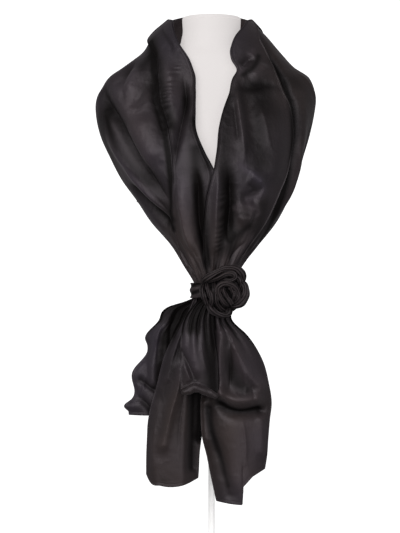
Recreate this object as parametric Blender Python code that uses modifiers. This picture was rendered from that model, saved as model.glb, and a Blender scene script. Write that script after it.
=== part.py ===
"""Evening stole of black silk satin, worn by a limbless counter bust form.

The stole is one straight length of silk. It stands round the neck with its edge turned
out as a collar, falls over the shoulders and the upper back, and both fronts are drawn
together under a silk rosette, from which the ends hang free. Metres, +Z up, the front
faces -Y, and the origin is the middle of the base's underside.

The cloth is worked out on a drape: rings round the body, read by level (0 at the neck,
15 at the gather) and by turn (0 degrees in front, 90 at +X, 180 behind). Every fold is a
ridge or a trough along a short path on the drape.
"""
import math

import bmesh
import bpy
import numpy as np
from mathutils import Vector
from mathutils.bvhtree import BVHTree

COLLECTION = "evening_stole"
SILK = (0.022, 0.019, 0.021)
FORM_WHITE = (0.80, 0.78, 0.77)
SILK_SHINE, BACKING_SHINE, SKIN_SHINE, PAINT_SHINE = 0.4, 0.6, 0.5, 0.3     # roughness
WALL = 0.0013            # the doubled silk
SEAM = 0.0006            # between stretches that are one cloth
SIDE_SEAM = 0.0011       # the same at the shoulders, where the cloth turns a corner
CLEAR = 0.0014           # cloth to form, before its faces cut the corner
# How far a turned collar's outer face stands over the layer under it, at each level.
COLLAR_LIFT = ((0, 0.0018), (0.7, 0.0042), (12, 0.0042), (14, 0.0025), (15, 0.0022))
FLAT = ((0, 0), (15, 0))
NORMAL_STEP = 0.01       # levels between the points that give the way out of the drape
DEGREES_A_LEVEL = 30     # roughly, round the drape
FINE_STEPS = 6           # steps of a fold's path for each point in its table

# The bust form, from its neck down: height, half width, front and back depth.
FORM_RINGS = (
    # z, half_width, front_y, back_y
    (0.984, 0.0540, -0.050, 0.054),
    (0.955, 0.0545, -0.047, 0.060),
    (0.930, 0.0680, -0.049, 0.068),
    (0.915, 0.1020, -0.054, 0.075),
    (0.900, 0.1320, -0.058, 0.081),
    (0.885, 0.1560, -0.062, 0.086),
    (0.868, 0.1720, -0.067, 0.091),
    (0.845, 0.1800, -0.075, 0.096),
    (0.810, 0.1790, -0.087, 0.102),
    (0.770, 0.1690, -0.099, 0.105),
    (0.730, 0.1520, -0.108, 0.105),
    (0.690, 0.1320, -0.108, 0.100),
    (0.650, 0.1090, -0.098, 0.091),
    (0.610, 0.0850, -0.082, 0.078),
    (0.570, 0.0610, -0.062, 0.060),
    (0.535, 0.0390, -0.041, 0.040),
    (0.512, 0.0240, -0.025, 0.024),
)
FORM_SIDES = 32
CAP_PROFILE = ((0.006, 0.90), (0.0042, 0.965), (0.0, 1.0))      # rise, share of the rim
POLE_RADIUS = 0.006
POLE_SIDES = 20
BASE_HEIGHT = 0.012
BASE_PROFILE = ((0.131, BASE_HEIGHT), (0.134, 0.009), (0.135, 0.006), (0.135, 0.0))
BASE_SIDES = 48

# The drape that the cloth follows: one ring for each level.
DRAPE_RINGS = (
    # z_front, z_side, z_back, half_left, half_right, front_y, side_y, back_y
    (0.965, 0.985, 1.012, 0.080, 0.074, -0.045, 0.010, 0.080),
    (0.935, 0.955, 0.985, 0.110, 0.104, -0.060, 0.012, 0.090),
    (0.905, 0.925, 0.955, 0.130, 0.130, -0.070, 0.012, 0.095),
    (0.877, 0.900, 0.925, 0.172, 0.158, -0.078, 0.010, 0.100),
    (0.850, 0.880, 0.900, 0.200, 0.187, -0.086, 0.008, 0.106),
    (0.820, 0.850, 0.865, 0.214, 0.195, -0.099, 0.005, 0.115),
    (0.785, 0.810, 0.825, 0.214, 0.190, -0.114, 0.002, 0.122),
    (0.750, 0.770, 0.785, 0.205, 0.181, -0.127, 0.000, 0.126),
    (0.715, 0.730, 0.745, 0.187, 0.169, -0.135, -0.003, 0.126),
    (0.680, 0.690, 0.705, 0.166, 0.158, -0.136, -0.010, 0.122),
    (0.643, 0.650, 0.660, 0.137, 0.140, -0.133, -0.022, 0.116),
    (0.606, 0.610, 0.620, 0.110, 0.118, -0.129, -0.042, 0.100),
    (0.568, 0.570, 0.570, 0.075, 0.086, -0.124, -0.068, 0.010),
    (0.539, 0.540, 0.540, 0.055, 0.061, -0.120, -0.088, -0.045),
    (0.512, 0.512, 0.512, 0.037, 0.043, -0.1185, -0.099, -0.076),
    (0.488, 0.488, 0.488, 0.025, 0.035, -0.1160, -0.100, -0.086),
)

# Edges of the cloth on the drape: turn in degrees at each level.
NECK_LEFT = ((0.0, -62), (0.7, -42), (1.4, -29), (2.1, -19), (2.9, -12.2), (4.1, -9.5),
             (5.3, -9), (6.4, -8.8), (7.5, -5.5), (8.7, -1.2), (9.9, -5), (10.8, -7.5),
             (12.3, -13), (13.6, -12.5), (15, -9))
UNDER_LEFT = ((0.0, -61), (0.7, -41), (1.4, -28), (2.1, -18), (2.9, -11.2), (4.1, -8.5),
              (5.3, -8), (6.4, -7.8), (7.5, -4), (8.7, 2), (9.9, 3), (10.8, 3),
              (12.3, 1), (13.6, 1), (15, -5))
NECK_RIGHT = ((0.0, 58), (0.5, 33.5), (1.35, 18), (2.0, 15.8), (2.8, 17.5), (3.45, 12.5),
              (4.5, 9.2), (5.4, 6), (6.25, 4), (7.4, 3), (8.7, 0.6), (9.9, -3.5),
              (10.8, -6), (12.3, -11), (13.6, -10), (15, -6.5))
COLLAR_EDGE_LEFT = ((0.0, -88.5), (1.1, -86), (1.55, -68), (2.3, -44), (3.65, -30.2),
                    (4.9, -25.8), (6.1, -22), (7.0, -21.2), (8.0, -22), (8.9, -23.4),
                    (9.9, -28.8), (10.6, -34), (11.3, -40), (12.1, -52), (12.8, -58),
                    (13.6, -54), (15, -50))
COLLAR_EDGE_RIGHT = ((0.0, 84), (0.35, 70), (1.0, 54), (1.8, 49.8), (2.8, 45.5), (3.8, 40.5),
                     (4.8, 41.5), (5.6, 46.5), (6.4, 49.8), (7.4, 53), (8.3, 54),
                     (9.25, 53), (10.2, 52.5), (11.1, 51.5), (11.9, 51), (13.0, 52),
                     (15, 45))
CREASE_LEFT = ((0.0, -89.2), (2.0, -87), (3.6, -80), (5.05, -68), (6.15, -53), (7.8, -46.2),
               (9.2, -39), (10.1, -37), (10.7, -44), (11.4, -56), (12.1, -70), (12.8, -78),
               (13.6, -78), (15, -78))
CREASE_MARGIN = 5        # degrees to the strands beside the crease
OUTER_EDGE = ((0, 90), (10, 90), (11.0, 95), (12.0, 107), (13.0, 121), (15.0, 140))
BACK_EDGE = ((90, 10), (112, 10.1), (140, 9.8), (180, 9.5), (220, 9.8), (248, 10.1),
             (270, 10))
COLLAR_EDGE_BACK = ((90, 0.35), (110, 0.8), (180, 1.3), (240, 1.35), (270, 1.2))

# Folds on the drape: height out of the cloth (troughs negative) and half width in mm,
# then the path as (level, turn).
LEFT_FOLDS = (
    (-13, 12, ((4.2, -75), (5.0, -68), (6.2, -53), (7.8, -46), (9.2, -39), (10.1, -33))),
    (8, 11, ((6.6, -70), (8.1, -60), (9.6, -50), (10.6, -40))),
    (-12, 11, ((9.0, -74), (10.0, -62), (10.8, -50), (11.3, -44))),
    (-6, 10, ((3.0, -40), (4.1, -36), (4.9, -38), (5.6, -42))),
    (6, 11, ((2.8, -52), (3.9, -47), (4.9, -46))),
    (-6, 10, ((2.4, -66), (3.6, -57), (4.7, -54))),
    (9, 28, ((5.6, -38), (7.0, -35), (8.4, -32))),
    (-6, 9, ((2.4, -48), (3.7, -33.5), (4.9, -29), (6.1, -25), (8.0, -25.5))),
    (6, 11, ((2.0, -34), (3.6, -23), (4.9, -19.5), (6.1, -18.5))),
    (-8, 8, ((3.0, -16), (4.5, -13), (5.4, -13.2), (6.9, -17), (8.7, -23))),
    (8, 11, ((8.6, -17), (9.9, -21), (10.9, -23), (11.8, -27), (12.8, -27))),
    (-9, 8, ((8.2, -9), (9.2, -9), (10.1, -10.5), (11.1, -12.2), (12, -12), (13, -12))),
    (-6, 12, ((8.7, 3), (9.9, 1), (10.8, -1), (12.3, -6), (13.6, -6), (15, -3))),
)
RIGHT_FOLDS = (
    (7, 16, ((4.6, 60), (6.6, 62), (8.1, 68), (9.6, 69), (11.0, 67))),
    (6, 8, ((3.5, 14.5), (4.8, 13.5), (5.9, 15.2), (6.9, 17.2), (8.4, 18.2))),
    (-10, 12, ((4.1, 20.5), (5.4, 20), (6.4, 22.5), (7.5, 26))),
    (9, 26, ((4.9, 30), (6.0, 33), (7.0, 37), (8.5, 40), (9.5, 44))),
    (-11, 10, ((7.6, 9.5), (9.2, 12), (10.1, 14.2), (11.1, 15.2), (12.0, 17))),
    (7, 8, ((8.0, 3.5), (9.4, 3.5), (10.6, 3.2), (11.8, 3), (13.0, 0))),
    (6, 13, ((8.7, 22), (8.9, 28), (9.2, 36))),
    (-7, 13, ((10.0, 20), (9.8, 28), (9.9, 36))),
    (6, 13, ((10.8, 20), (10.7, 28), (10.8, 36))),
    (-7, 8, ((2.0, 35), (2.3, 27), (2.7, 20))),
    (6, 10, ((2.6, 42), (3.1, 32), (3.5, 22))),
    (-6, 10, ((4.1, 17), (4.1, 28), (4.0, 38))),
)
RIGHT_UNDER_FOLDS = (
    (-11, 10, ((0.7, 66), (1.1, 58), (1.8, 54), (2.8, 49), (3.8, 44), (4.8, 45), (5.6, 50),
               (6.4, 53), (7.4, 56), (8.3, 57), (9.3, 56), (10.2, 56), (11.1, 56),
               (12, 56))),
)
BACK_FOLDS = (
    (9, 16, ((4.4, 96), (5.6, 130), (6.2, 180), (5.4, 232), (4.2, 262))),
    (-8, 14, ((5.2, 98), (6.6, 138), (7.0, 186), (6.4, 228), (5.2, 260))),
    (9, 16, ((6.6, 97), (7.6, 128), (8.0, 172), (7.5, 226), (6.3, 262))),
    (-8, 14, ((8.0, 102), (8.7, 150), (8.8, 200), (8.0, 255))),
    (-7, 14, ((3.0, 122), (4.0, 150), (4.4, 196), (3.4, 236))),
)
# Both sides: where the cloth is drawn down onto the tops of the form's shoulders.
SHOULDER_SEATS = (
    (-16, 24, ((3.2, 98), (4.3, 96))),
    (-24, 26, ((3.2, 262), (4.3, 264))),
)

# Gathers into the strap: how deep, how many degrees each takes, and where they start.
GATHER_DEPTH = 0.0014
GATHER_TURN = 20
GATHER_FADE = ((11.2, 0), (13.2, 1), (14, 0.8), (15, 0.3))

# Rows of the cloth's grid: closer where the fronts are drawn in.
LEVEL_OF_ROW = ((0, 0), (13, 9), (15, 10), (19, 12), (25, 15))
CLOTH_ROWS = LEVEL_OF_ROW[-1][0]
BACK_ROWS = 15
BACK_LEVELS = 10
COLUMN_MIN = 0.35        # degrees in each column where strands close up
SHOULDER_HALF = 0.19

# Tails: sections from the strap down, and the hem from left to right.
TAIL_TOP = 0.484
# Share of the drop at each share of the rows: closer under the strap and at the pouf.
EVEN_ROWS = ((0, 0), (0.12, 0.06), (1, 1))
POUF_ROWS = ((0, 0), (0.10, 0.06), (0.40, 0.42), (0.70, 0.63), (1, 1))
TAIL_BACK_LEFT = (
    # z, left, right, y, set_back at the edges
    (0.484, -0.0276, -0.012, -0.0940, 0.000),
    (0.475, -0.0308, -0.015, -0.0930, 0.001),
    (0.468, -0.0460, -0.022, -0.0890, 0.003),
    (0.456, -0.0780, -0.030, -0.0850, 0.008),
    (0.431, -0.0961, -0.042, -0.0800, 0.012),
    (0.400, -0.1200, -0.050, -0.0780, 0.012),
    (0.388, -0.1160, -0.053, -0.0770, 0.012),
    (0.377, -0.1160, -0.056, -0.0770, 0.012),
    (0.340, -0.1425, -0.065, -0.0760, 0.010),
    (0.290, -0.1443, -0.075, -0.0760, 0.010),
    (0.277, -0.1580, -0.078, -0.0760, 0.010),
    (0.268, -0.1500, -0.079, -0.0760, 0.010),
    (0.262, -0.1496, -0.080, -0.0760, 0.010),
)
TAIL_LEFT = (
    (0.484, -0.0330, -0.0060, -0.0990, 0.000),
    (0.474, -0.0346, -0.0070, -0.1000, 0.002),
    (0.426, -0.0569, -0.0100, -0.1050, 0.010),
    (0.372, -0.0837, -0.0140, -0.1040, 0.016),
    (0.319, -0.0979, -0.0150, -0.1020, 0.020),
    (0.246, -0.1150, -0.0165, -0.1020, 0.022),
    (0.222, -0.1160, -0.0195, -0.1030, 0.022),
    (0.200, -0.1170, -0.0225, -0.1040, 0.022),
    (0.158, -0.1175, -0.0249, -0.1050, 0.022),
    (0.135, -0.1175, -0.0266, -0.1050, 0.022),
)
TAIL_CENTRE = (
    (0.484, -0.0160, 0.0100, -0.1176, 0.002),
    (0.474, -0.0190, 0.0060, -0.1172, 0.003),
    (0.462, -0.0310, 0.0030, -0.1166, 0.003),
    (0.440, -0.0460, 0.0000, -0.1188, 0.004),
    (0.404, -0.0545, 0.0040, -0.1230, 0.0068),
    (0.363, -0.0552, 0.0090, -0.1280, 0.0088),
    (0.305, -0.0552, 0.0108, -0.1280, 0.006),
)
TAIL_RIGHT = (
    (0.484, -0.0035, 0.0430, -0.1005, 0.000),
    (0.470, -0.0045, 0.0416, -0.1025, 0.003),
    (0.434, -0.0065, 0.0350, -0.1070, 0.008),
    (0.406, -0.0090, 0.0625, -0.1090, 0.014),
    (0.367, -0.0125, 0.0874, -0.1100, 0.020),
    (0.319, -0.0165, 0.1017, -0.1100, 0.026),
    (0.283, -0.0195, 0.1065, -0.1090, 0.026),
    (0.256, -0.0190, 0.1034, -0.1080, 0.024),
    (0.222, -0.0165, 0.1005, -0.1070, 0.022),
    (0.189, -0.0085, 0.0981, -0.1060, 0.022),
    (0.167, -0.0040, 0.0945, -0.1060, 0.020),
    (0.105, 0.0095, 0.0860, -0.1060, 0.016),
)
HEM_BACK_LEFT = ((0, 0.2627), (1, 0.2615))
HEM_LEFT = ((0, 0.158), (0.06, 0.147), (0.29, 0.139), (0.78, 0.1415), (1, 0.1505))
HEM_CENTRE = ((0, 0.3120), (0.4, 0.3225), (0.65, 0.3175), (1, 0.3060))
HEM_RIGHT = ((0, 0.1103), (0.3, 0.1068), (0.575, 0.105), (0.60, 0.137), (0.78, 0.155),
             (1, 0.1674))
# The right tail's columns close up where its hem steps up at a corner.
EVEN_COLUMNS = ((0, 0), (1, 1))
STEP_COLUMNS = ((0, 0), (0.5625, 0.575), (0.625, 0.60), (1, 1))
HEM_REACH = 6            # how closely a hem's shape keeps to the hem

# Folds of the tails: height forwards and half width in mm, path as (x, z).
BACK_LEFT_TAIL_FOLDS = (
    (6, 7, ((-0.095, 0.42), (-0.105, 0.38), (-0.107, 0.32))),
    (-5, 6, ((-0.128, 0.324), (-0.098, 0.306))),
    (-4, 6, ((-0.128, 0.292), (-0.107, 0.265))),
    (5, 8, ((-0.060, 0.47), (-0.080, 0.43), (-0.085, 0.36))),
)
LEFT_TAIL_FOLDS = (
    (9, 10, ((-0.055, 0.345), (-0.0585, 0.3188), (-0.0712, 0.2743), (-0.0872, 0.2119))),
    (-9, 9, ((-0.026, 0.42), (-0.033, 0.30), (-0.036, 0.17))),
    (-9, 9, ((-0.0140, 0.37), (-0.0150, 0.33), (-0.0165, 0.246), (-0.0195, 0.222))),
    (-4, 6, ((-0.0872, 0.203), (-0.0658, 0.190))),
    (5, 6, ((-0.036, 0.47), (-0.052, 0.42), (-0.070, 0.37), (-0.080, 0.33))),
    (4, 4, ((-0.028, 0.475), (-0.034, 0.43))),
    (5, 12, ((-0.105, 0.25), (-0.100, 0.17))),
    (4, 10, ((-0.050, 0.24), (-0.052, 0.16))),
)
CENTRE_TAIL_FOLDS = (
    (5, 12, ((-0.034, 0.40), (-0.028, 0.35))),
    (-4, 6, ((-0.052, 0.378), (-0.0302, 0.330))),
    (3, 6, ((-0.048, 0.352), (-0.043, 0.330))),
)
RIGHT_TAIL_FOLDS = (
    (12, 11, ((0.0140, 0.410), (0.0135, 0.380), (0.0135, 0.350), (0.0143, 0.305))),
    (9, 11, ((0.0400, 0.385), (0.0520, 0.358), (0.0677, 0.336), (0.0890, 0.316))),
    (11, 14, ((0.0150, 0.2985), (0.0260, 0.2885), (0.0482, 0.2830), (0.0770, 0.2870))),
    (-10, 14, ((0.0220, 0.268), (0.0482, 0.258), (0.0800, 0.262))),
    (-6, 8, ((0.0000, 0.40), (-0.0010, 0.34))),
    (-9, 9, ((-0.0060, 0.275), (-0.0035, 0.2386), (0.0143, 0.1941), (0.0250, 0.1496),
             (0.0321, 0.1228))),
    (6, 8, ((-0.0150, 0.283), (-0.0110, 0.222))),
    (6, 10, ((0.0892, 0.256), (0.0910, 0.200))),
    (8, 18, ((0.0360, 0.236), (0.0440, 0.170))),
)
# Gathers that open out below the strap, faded by height.
TAIL_PLEAT_DEPTH = 0.0022
TAIL_PLEAT_FADE = ((0.36, 0), (0.43, 1), (0.46, 0.6), (0.475, 0.3), (0.484, 0.2))
ROLL_PATH = ((-0.0545, 0.3060), (-0.042, 0.3100), (-0.029, 0.3145), (-0.013, 0.3100),
             (0.000, 0.3040), (0.011, 0.2985))
ROLL_Y = -0.1300
ROLL_RADIUS = 0.0075
ROLL_END = 0.62          # share of the radius left at the ends
ROLL_POINTS = 14

# The rosette: its strap round the gather, its backing and its coils.
STRAP_CENTRE = (0.004, -0.100)
STRAP_HALF = (0.0415, 0.0237)
STRAP_TOP, STRAP_BOTTOM = 0.499, 0.476
STRAP_WALL = 0.0025
STRAP_TURN = 178.5       # degrees from the front to where its ends meet behind
STRAP_BULGE = 0.0015
BACKING_CENTRE = (0.022, 0.484)
BACKING_HALF = (0.033, 0.038)
BACKING_Y = -0.1255
BACKING_FRONT = 0.985    # share of its size at the front rim
BACKING_SIDES = 24
PETALS = (
    # name, x, z, half_x, half_z, tilt, start, sweep, spiral, depth, flare
    ("rosette_coil", 0.0290, 0.4797, 0.0040, 0.0078, 30, 40, 520, 0.0046, 0.0270, 0.0028),
    ("rosette_wrap", 0.0290, 0.4797, 0.0120, 0.0156, 15, 222, 348, 0.0004, 0.0250, 0.0062),
    ("rosette_bud", -0.0072, 0.4806, 0.0036, 0.0076, 16, 150, 520, 0.0050, 0.0235, 0.0026),
    ("rosette_lobe", 0.0290, 0.4797, 0.0195, 0.0190, 0, -62, 102, 0.0010, 0.0210, 0.0160),
    ("rosette_top_fold", 0.0190, 0.4880, 0.0200, 0.0240, 0, 28, 142, 0.0010, 0.0200, 0.0185),
    ("rosette_inner_fold", 0.0170, 0.4860, 0.0150, 0.0190, 0, 44, 76, 0.0010, 0.0220, 0.0120),
    ("rosette_low_fold", 0.0100, 0.4740, 0.0190, 0.0220, 0, 196, 116, 0.0010, 0.0190, 0.0150),
)
PETAL_WALL = 0.0013
PETAL_ROWS = 4
PETAL_STEP = 24          # degrees a column
PETAL_LIP = 0.8          # share of the strip's width where it is at its most forward
PETAL_FLARE_POWER = 1.6


def smooth(rows, at):
    """Read the columns of a table at any keys, on a smooth curve through its rows."""
    rows = np.array(rows, float)
    key, value = rows[:, 0], rows[:, 1:]
    at = np.clip(np.atleast_1d(np.asarray(at, float)), key[0], key[-1])
    slope = np.gradient(value, key, axis=0)
    i = np.clip(np.searchsorted(key, at, side="right") - 1, 0, len(key) - 2)
    span = (key[i + 1] - key[i])[:, None]
    t = (at - key[i])[:, None] / span
    return (value[i] * (1 + 2 * t) * (1 - t) ** 2 + slope[i] * span * t * (1 - t) ** 2
            + value[i + 1] * t * t * (3 - 2 * t) + slope[i + 1] * span * t * t * (t - 1))


def ring_point(level, turn):
    """A point of the drape, from its level and its turn in degrees."""
    rows = [(k,) + ring for k, ring in enumerate(DRAPE_RINGS)]
    z_front, z_side, z_back, left, right, y_front, y_side, y_back = smooth(rows, level).T
    across, ahead = np.sin(np.radians(turn)), np.cos(np.radians(turn))
    x = across * np.where(across < 0, left, right)
    y = y_side + np.where(ahead > 0, (y_front - y_side) * ahead, (y_side - y_back) * ahead)
    z = z_side + np.where(ahead > 0, z_front - z_side, z_back - z_side) * ahead ** 2
    return np.stack([x, y, z], 1)


def ring_normal(level, turn):
    """The way out of the drape at a point."""
    d = NORMAL_STEP
    down = ring_point(level + d, turn) - ring_point(level - d, turn)
    around = (ring_point(level, turn + DEGREES_A_LEVEL * d)
              - ring_point(level, turn - DEGREES_A_LEVEL * d))
    out = np.cross(down, around)
    return out / np.maximum(np.linalg.norm(out, axis=1), 1e-12)[:, None]


def path_distance(points, path):
    """How far each point is from a path of straight runs."""
    best = np.full(len(points), 1e9)
    for a, b in zip(path[:-1], path[1:]):
        run = b - a
        t = np.clip((points - a) @ run / max(run @ run, 1e-12), 0, 1)
        best = np.minimum(best, np.linalg.norm(points - a - t[:, None] * run, axis=1))
    return best


def fold_heights(points, folds, place):
    """The height of all the folds at each point; place turns a path into points."""
    total = np.zeros(len(points))
    for height, half_width, path in folds:
        path = np.array(path, float)
        steps = np.arange(len(path))
        at = np.linspace(0, steps[-1], FINE_STEPS * len(path))
        fine = smooth(np.column_stack([steps, path]), at)
        distance = path_distance(points, place(*fine.T))
        total += height / 1000 * np.exp(-(1000 * distance / half_width) ** 2)
    return total


def paint(name, color, roughness, metallic=0.0):
    """One plain material."""
    material = bpy.data.materials.new(name)
    material.use_nodes = True
    shader = material.node_tree.nodes["Principled BSDF"]
    shader.inputs["Base Color"].default_value = (*color, 1)
    shader.inputs["Roughness"].default_value = roughness
    shader.inputs["Metallic"].default_value = metallic
    return material


def add(name, mesh, color, roughness):
    """Put a mesh into the part's collection as a named object with its own material."""
    thing = bpy.data.objects.new(name, mesh)
    mesh.materials.append(paint(name, color, roughness))
    mesh.shade_smooth()
    bpy.data.collections[COLLECTION].objects.link(thing)
    return thing


def sheet(name, columns, rows, place, wall=WALL, flip=False):
    """A wall of cloth: place gives its outer face from shares across and down.

    The wall's thickness goes inwards where the share across runs to the left as seen from
    outside; with flip, where it runs to the right.
    """
    bm = bmesh.new()
    bmesh.ops.create_grid(bm, x_segments=columns, y_segments=rows, size=0.5)
    share = np.array([vert.co for vert in bm.verts])[:, :2] + 0.5
    across = 1 - share[:, 0] if flip else share[:, 0]
    for vert, point in zip(bm.verts, place(across, share[:, 1])):
        vert.co = point
    mesh = bpy.data.meshes.new(name)
    bm.to_mesh(mesh)
    bm.free()
    cloth = add(name, mesh, SILK, SILK_SHINE)
    solidify = cloth.modifiers.new("wall", "SOLIDIFY")
    solidify.thickness = wall
    solidify.offset = -1
    return cloth


def loft(name, rings, color, roughness):
    """A closed skin through rings of points, flat at both ends."""
    bm = bmesh.new()
    loops = [[bm.verts.new(point) for point in ring] for ring in rings]
    for lower, upper in zip(loops[1:], loops[:-1]):
        for k in range(len(lower)):
            n = (k + 1) % len(lower)
            bm.faces.new((lower[k], lower[n], upper[n], upper[k]))
    bm.faces.new(loops[0])
    bm.faces.new(list(reversed(loops[-1])))
    bmesh.ops.recalc_face_normals(bm, faces=bm.faces)
    mesh = bpy.data.meshes.new(name)
    bm.to_mesh(mesh)
    bm.free()
    return add(name, mesh, color, roughness)


def turned(name, profile, sides, color, roughness):
    """A turned solid: a profile of (radius, height) from the top down, spun on the Z axis."""
    rings = []
    for radius, z in profile:
        turn = np.linspace(0, 2 * math.pi, sides, endpoint=False)
        rings.append(np.stack([radius * np.cos(turn), radius * np.sin(turn),
                               np.full(sides, z)], 1))
    return loft(name, rings, color, roughness)


def form_ring(z):
    """One level ring of the bust form."""
    half, front, back = smooth(FORM_RINGS[::-1], z)[0]
    turn = np.linspace(0, 2 * math.pi, FORM_SIDES, endpoint=False)
    ahead = np.cos(turn)
    y = np.where(ahead > 0, front * ahead, -back * ahead)
    return np.stack([half * np.sin(turn), y, np.full(FORM_SIDES, z)], 1)


def make_form():
    """The bust, its cap, pole and base; gives the bust's skin for the cloth to rest on."""
    bust = loft("form_bust", [form_ring(row[0]) for row in FORM_RINGS], FORM_WHITE,
                SKIN_SHINE)
    tree = BVHTree.FromPolygons([v.co for v in bust.data.vertices],
                                [p.vertices for p in bust.data.polygons])
    neck_z, foot_z = FORM_RINGS[0][0], FORM_RINGS[-1][0]
    rim = form_ring(neck_z)
    loft("form_cap", [rim * (share, share, 0) + (0, 0, neck_z + SEAM + rise)
                      for rise, share in CAP_PROFILE], FORM_WHITE, SKIN_SHINE)
    turned("form_pole", ((POLE_RADIUS, foot_z - SEAM), (POLE_RADIUS, BASE_HEIGHT + SEAM)),
           POLE_SIDES, FORM_WHITE, PAINT_SHINE)
    turned("form_base", BASE_PROFILE, BASE_SIDES, FORM_WHITE, PAINT_SHINE)
    return tree


def clear_of(tree, points, gap):
    """Push points out until they stand gap clear of the form."""
    for k, point in enumerate(points):
        place, normal, _, _ = tree.find_nearest(Vector(point))
        away = Vector(point) - place
        inside = away.dot(normal) < 0
        if inside or away.length < gap:
            way_out = normal if inside else away.normalized()
            points[k] = place + way_out * gap
    return points


def draped(tree, level, turn, folds, lift=FLAT, extra=0.0):
    """Points of the outer face on the drape, folded and clear of the form."""
    points = ring_point(level, turn)
    height = fold_heights(points, folds, ring_point) + extra
    lift = np.interp(level, *np.array(lift).T)
    points = points + ring_normal(level, turn) * (height + lift)[:, None]
    return clear_of(tree, points, WALL + CLEAR + np.max(lift))


def row_level(v, rows):
    """The level of a row, from its share of so many rows down."""
    return np.interp(v * rows, *np.array(LEVEL_OF_ROW).T)


def make_body(tree):
    """Back, fronts and turned collars."""
    seam = math.degrees(SIDE_SEAM / 2 / SHOULDER_HALF)
    shared = BACK_FOLDS + SHOULDER_SEATS
    left_folds = LEFT_FOLDS + shared
    right_folds = RIGHT_FOLDS + shared
    collar_folds = LEFT_FOLDS + RIGHT_FOLDS + shared

    def back(u, v):
        turn = 90 + seam + u * (180 - 2 * seam)
        level = row_level(v, BACK_ROWS) * smooth(BACK_EDGE, turn)[:, 0] / BACK_LEVELS
        return draped(tree, level, turn, collar_folds + RIGHT_UNDER_FOLDS)

    def collar_back(u, v):
        turn = 90 + seam + u * (180 - 2 * seam)
        level = v * smooth(COLLAR_EDGE_BACK, turn)[:, 0]
        return draped(tree, level, turn, collar_folds, COLLAR_LIFT)

    def front(side, strands, folds, lift, first, last):
        """One front between two of its columns, which lie on or between its strands."""
        columns = np.cumsum([0] + [count for count, _, _ in strands])

        def place(u, v):
            column = first + u * (last - first)
            level = row_level(v, CLOTH_ROWS)
            limit = np.maximum(smooth(OUTER_EDGE, level)[:, 0], 90) - seam
            turns = [side * smooth(table, level)[:, 0] + margin for _, table, margin in strands]
            turns = np.array(turns + [limit])
            for n in range(1, len(strands)):
                turns[n] = np.maximum(turns[n], turns[n - 1] + COLUMN_MIN * strands[n - 1][0])
            for n in reversed(range(len(strands))):
                turns[n] = np.minimum(turns[n], turns[n + 1] - COLUMN_MIN * strands[n][0])
            turns *= side
            k = np.clip(np.searchsorted(columns, column, side="right") - 1, 0, len(strands) - 1)
            t = (column - columns[k]) / (columns[k + 1] - columns[k])
            n = np.arange(len(column))
            turn = turns[k, n] * (1 - t) + turns[k + 1, n] * t
            fade = np.interp(level, *np.array(GATHER_FADE).T)
            gather = GATHER_DEPTH * fade * np.cos(2 * math.pi * turn / GATHER_TURN)
            return draped(tree, level, turn, folds, lift, gather)
        return place

    left = ((2, UNDER_LEFT, 0), (8, NECK_LEFT, 0), (4, COLLAR_EDGE_LEFT, 0),
            (2, CREASE_LEFT, -CREASE_MARGIN), (2, CREASE_LEFT, 0),
            (4, CREASE_LEFT, CREASE_MARGIN))
    right = ((10, NECK_RIGHT, 0), (2, COLLAR_EDGE_RIGHT, 0),
             (5, COLLAR_EDGE_RIGHT, CREASE_MARGIN))
    sheet("stole_back", 18, BACK_ROWS, back, flip=True)
    sheet("collar_back", 18, 3, collar_back, flip=True)
    sheet("stole_front_left", 22, CLOTH_ROWS, front(-1, left, left_folds, FLAT, 0, 22))
    sheet("collar_left", 8, CLOTH_ROWS, front(-1, left, left_folds, COLLAR_LIFT, 2, 10))
    sheet("stole_front_right", 17, CLOTH_ROWS,
          front(1, right, right_folds + RIGHT_UNDER_FOLDS, FLAT, 0, 17), flip=True)
    sheet("collar_right", 10, CLOTH_ROWS, front(1, right, right_folds, COLLAR_LIFT, 0, 10),
          flip=True)


def tail(name, columns, rows, sections, hem, folds, pleats,
         spread=EVEN_COLUMNS, drop=EVEN_ROWS):
    """A hanging end: sections give its sides and depth, folds its ridges and troughs."""
    def place(u, v):
        share = np.interp(u, *np.array(spread).T)
        down = np.interp(v, *np.array(drop).T)
        line = hem[0][1] + (hem[-1][1] - hem[0][1]) * share
        z = TAIL_TOP + (line - TAIL_TOP) * down
        z = z + (np.interp(share, *np.array(hem).T) - line) * down ** HEM_REACH
        left, right, y, set_back = smooth(sections[::-1], z).T
        x = left + (right - left) * share
        flat = np.stack([x, z], 1)
        y = y + set_back * (2 * share - 1) ** 2
        y = y - fold_heights(flat, folds, lambda *path: np.stack(path, 1))
        fade = np.interp(z, *np.array(TAIL_PLEAT_FADE).T)
        y = y + TAIL_PLEAT_DEPTH * fade * np.cos(2 * math.pi * pleats * u)
        return np.stack([x, y, z], 1)
    sheet(name, columns, rows, place, flip=True)


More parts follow.
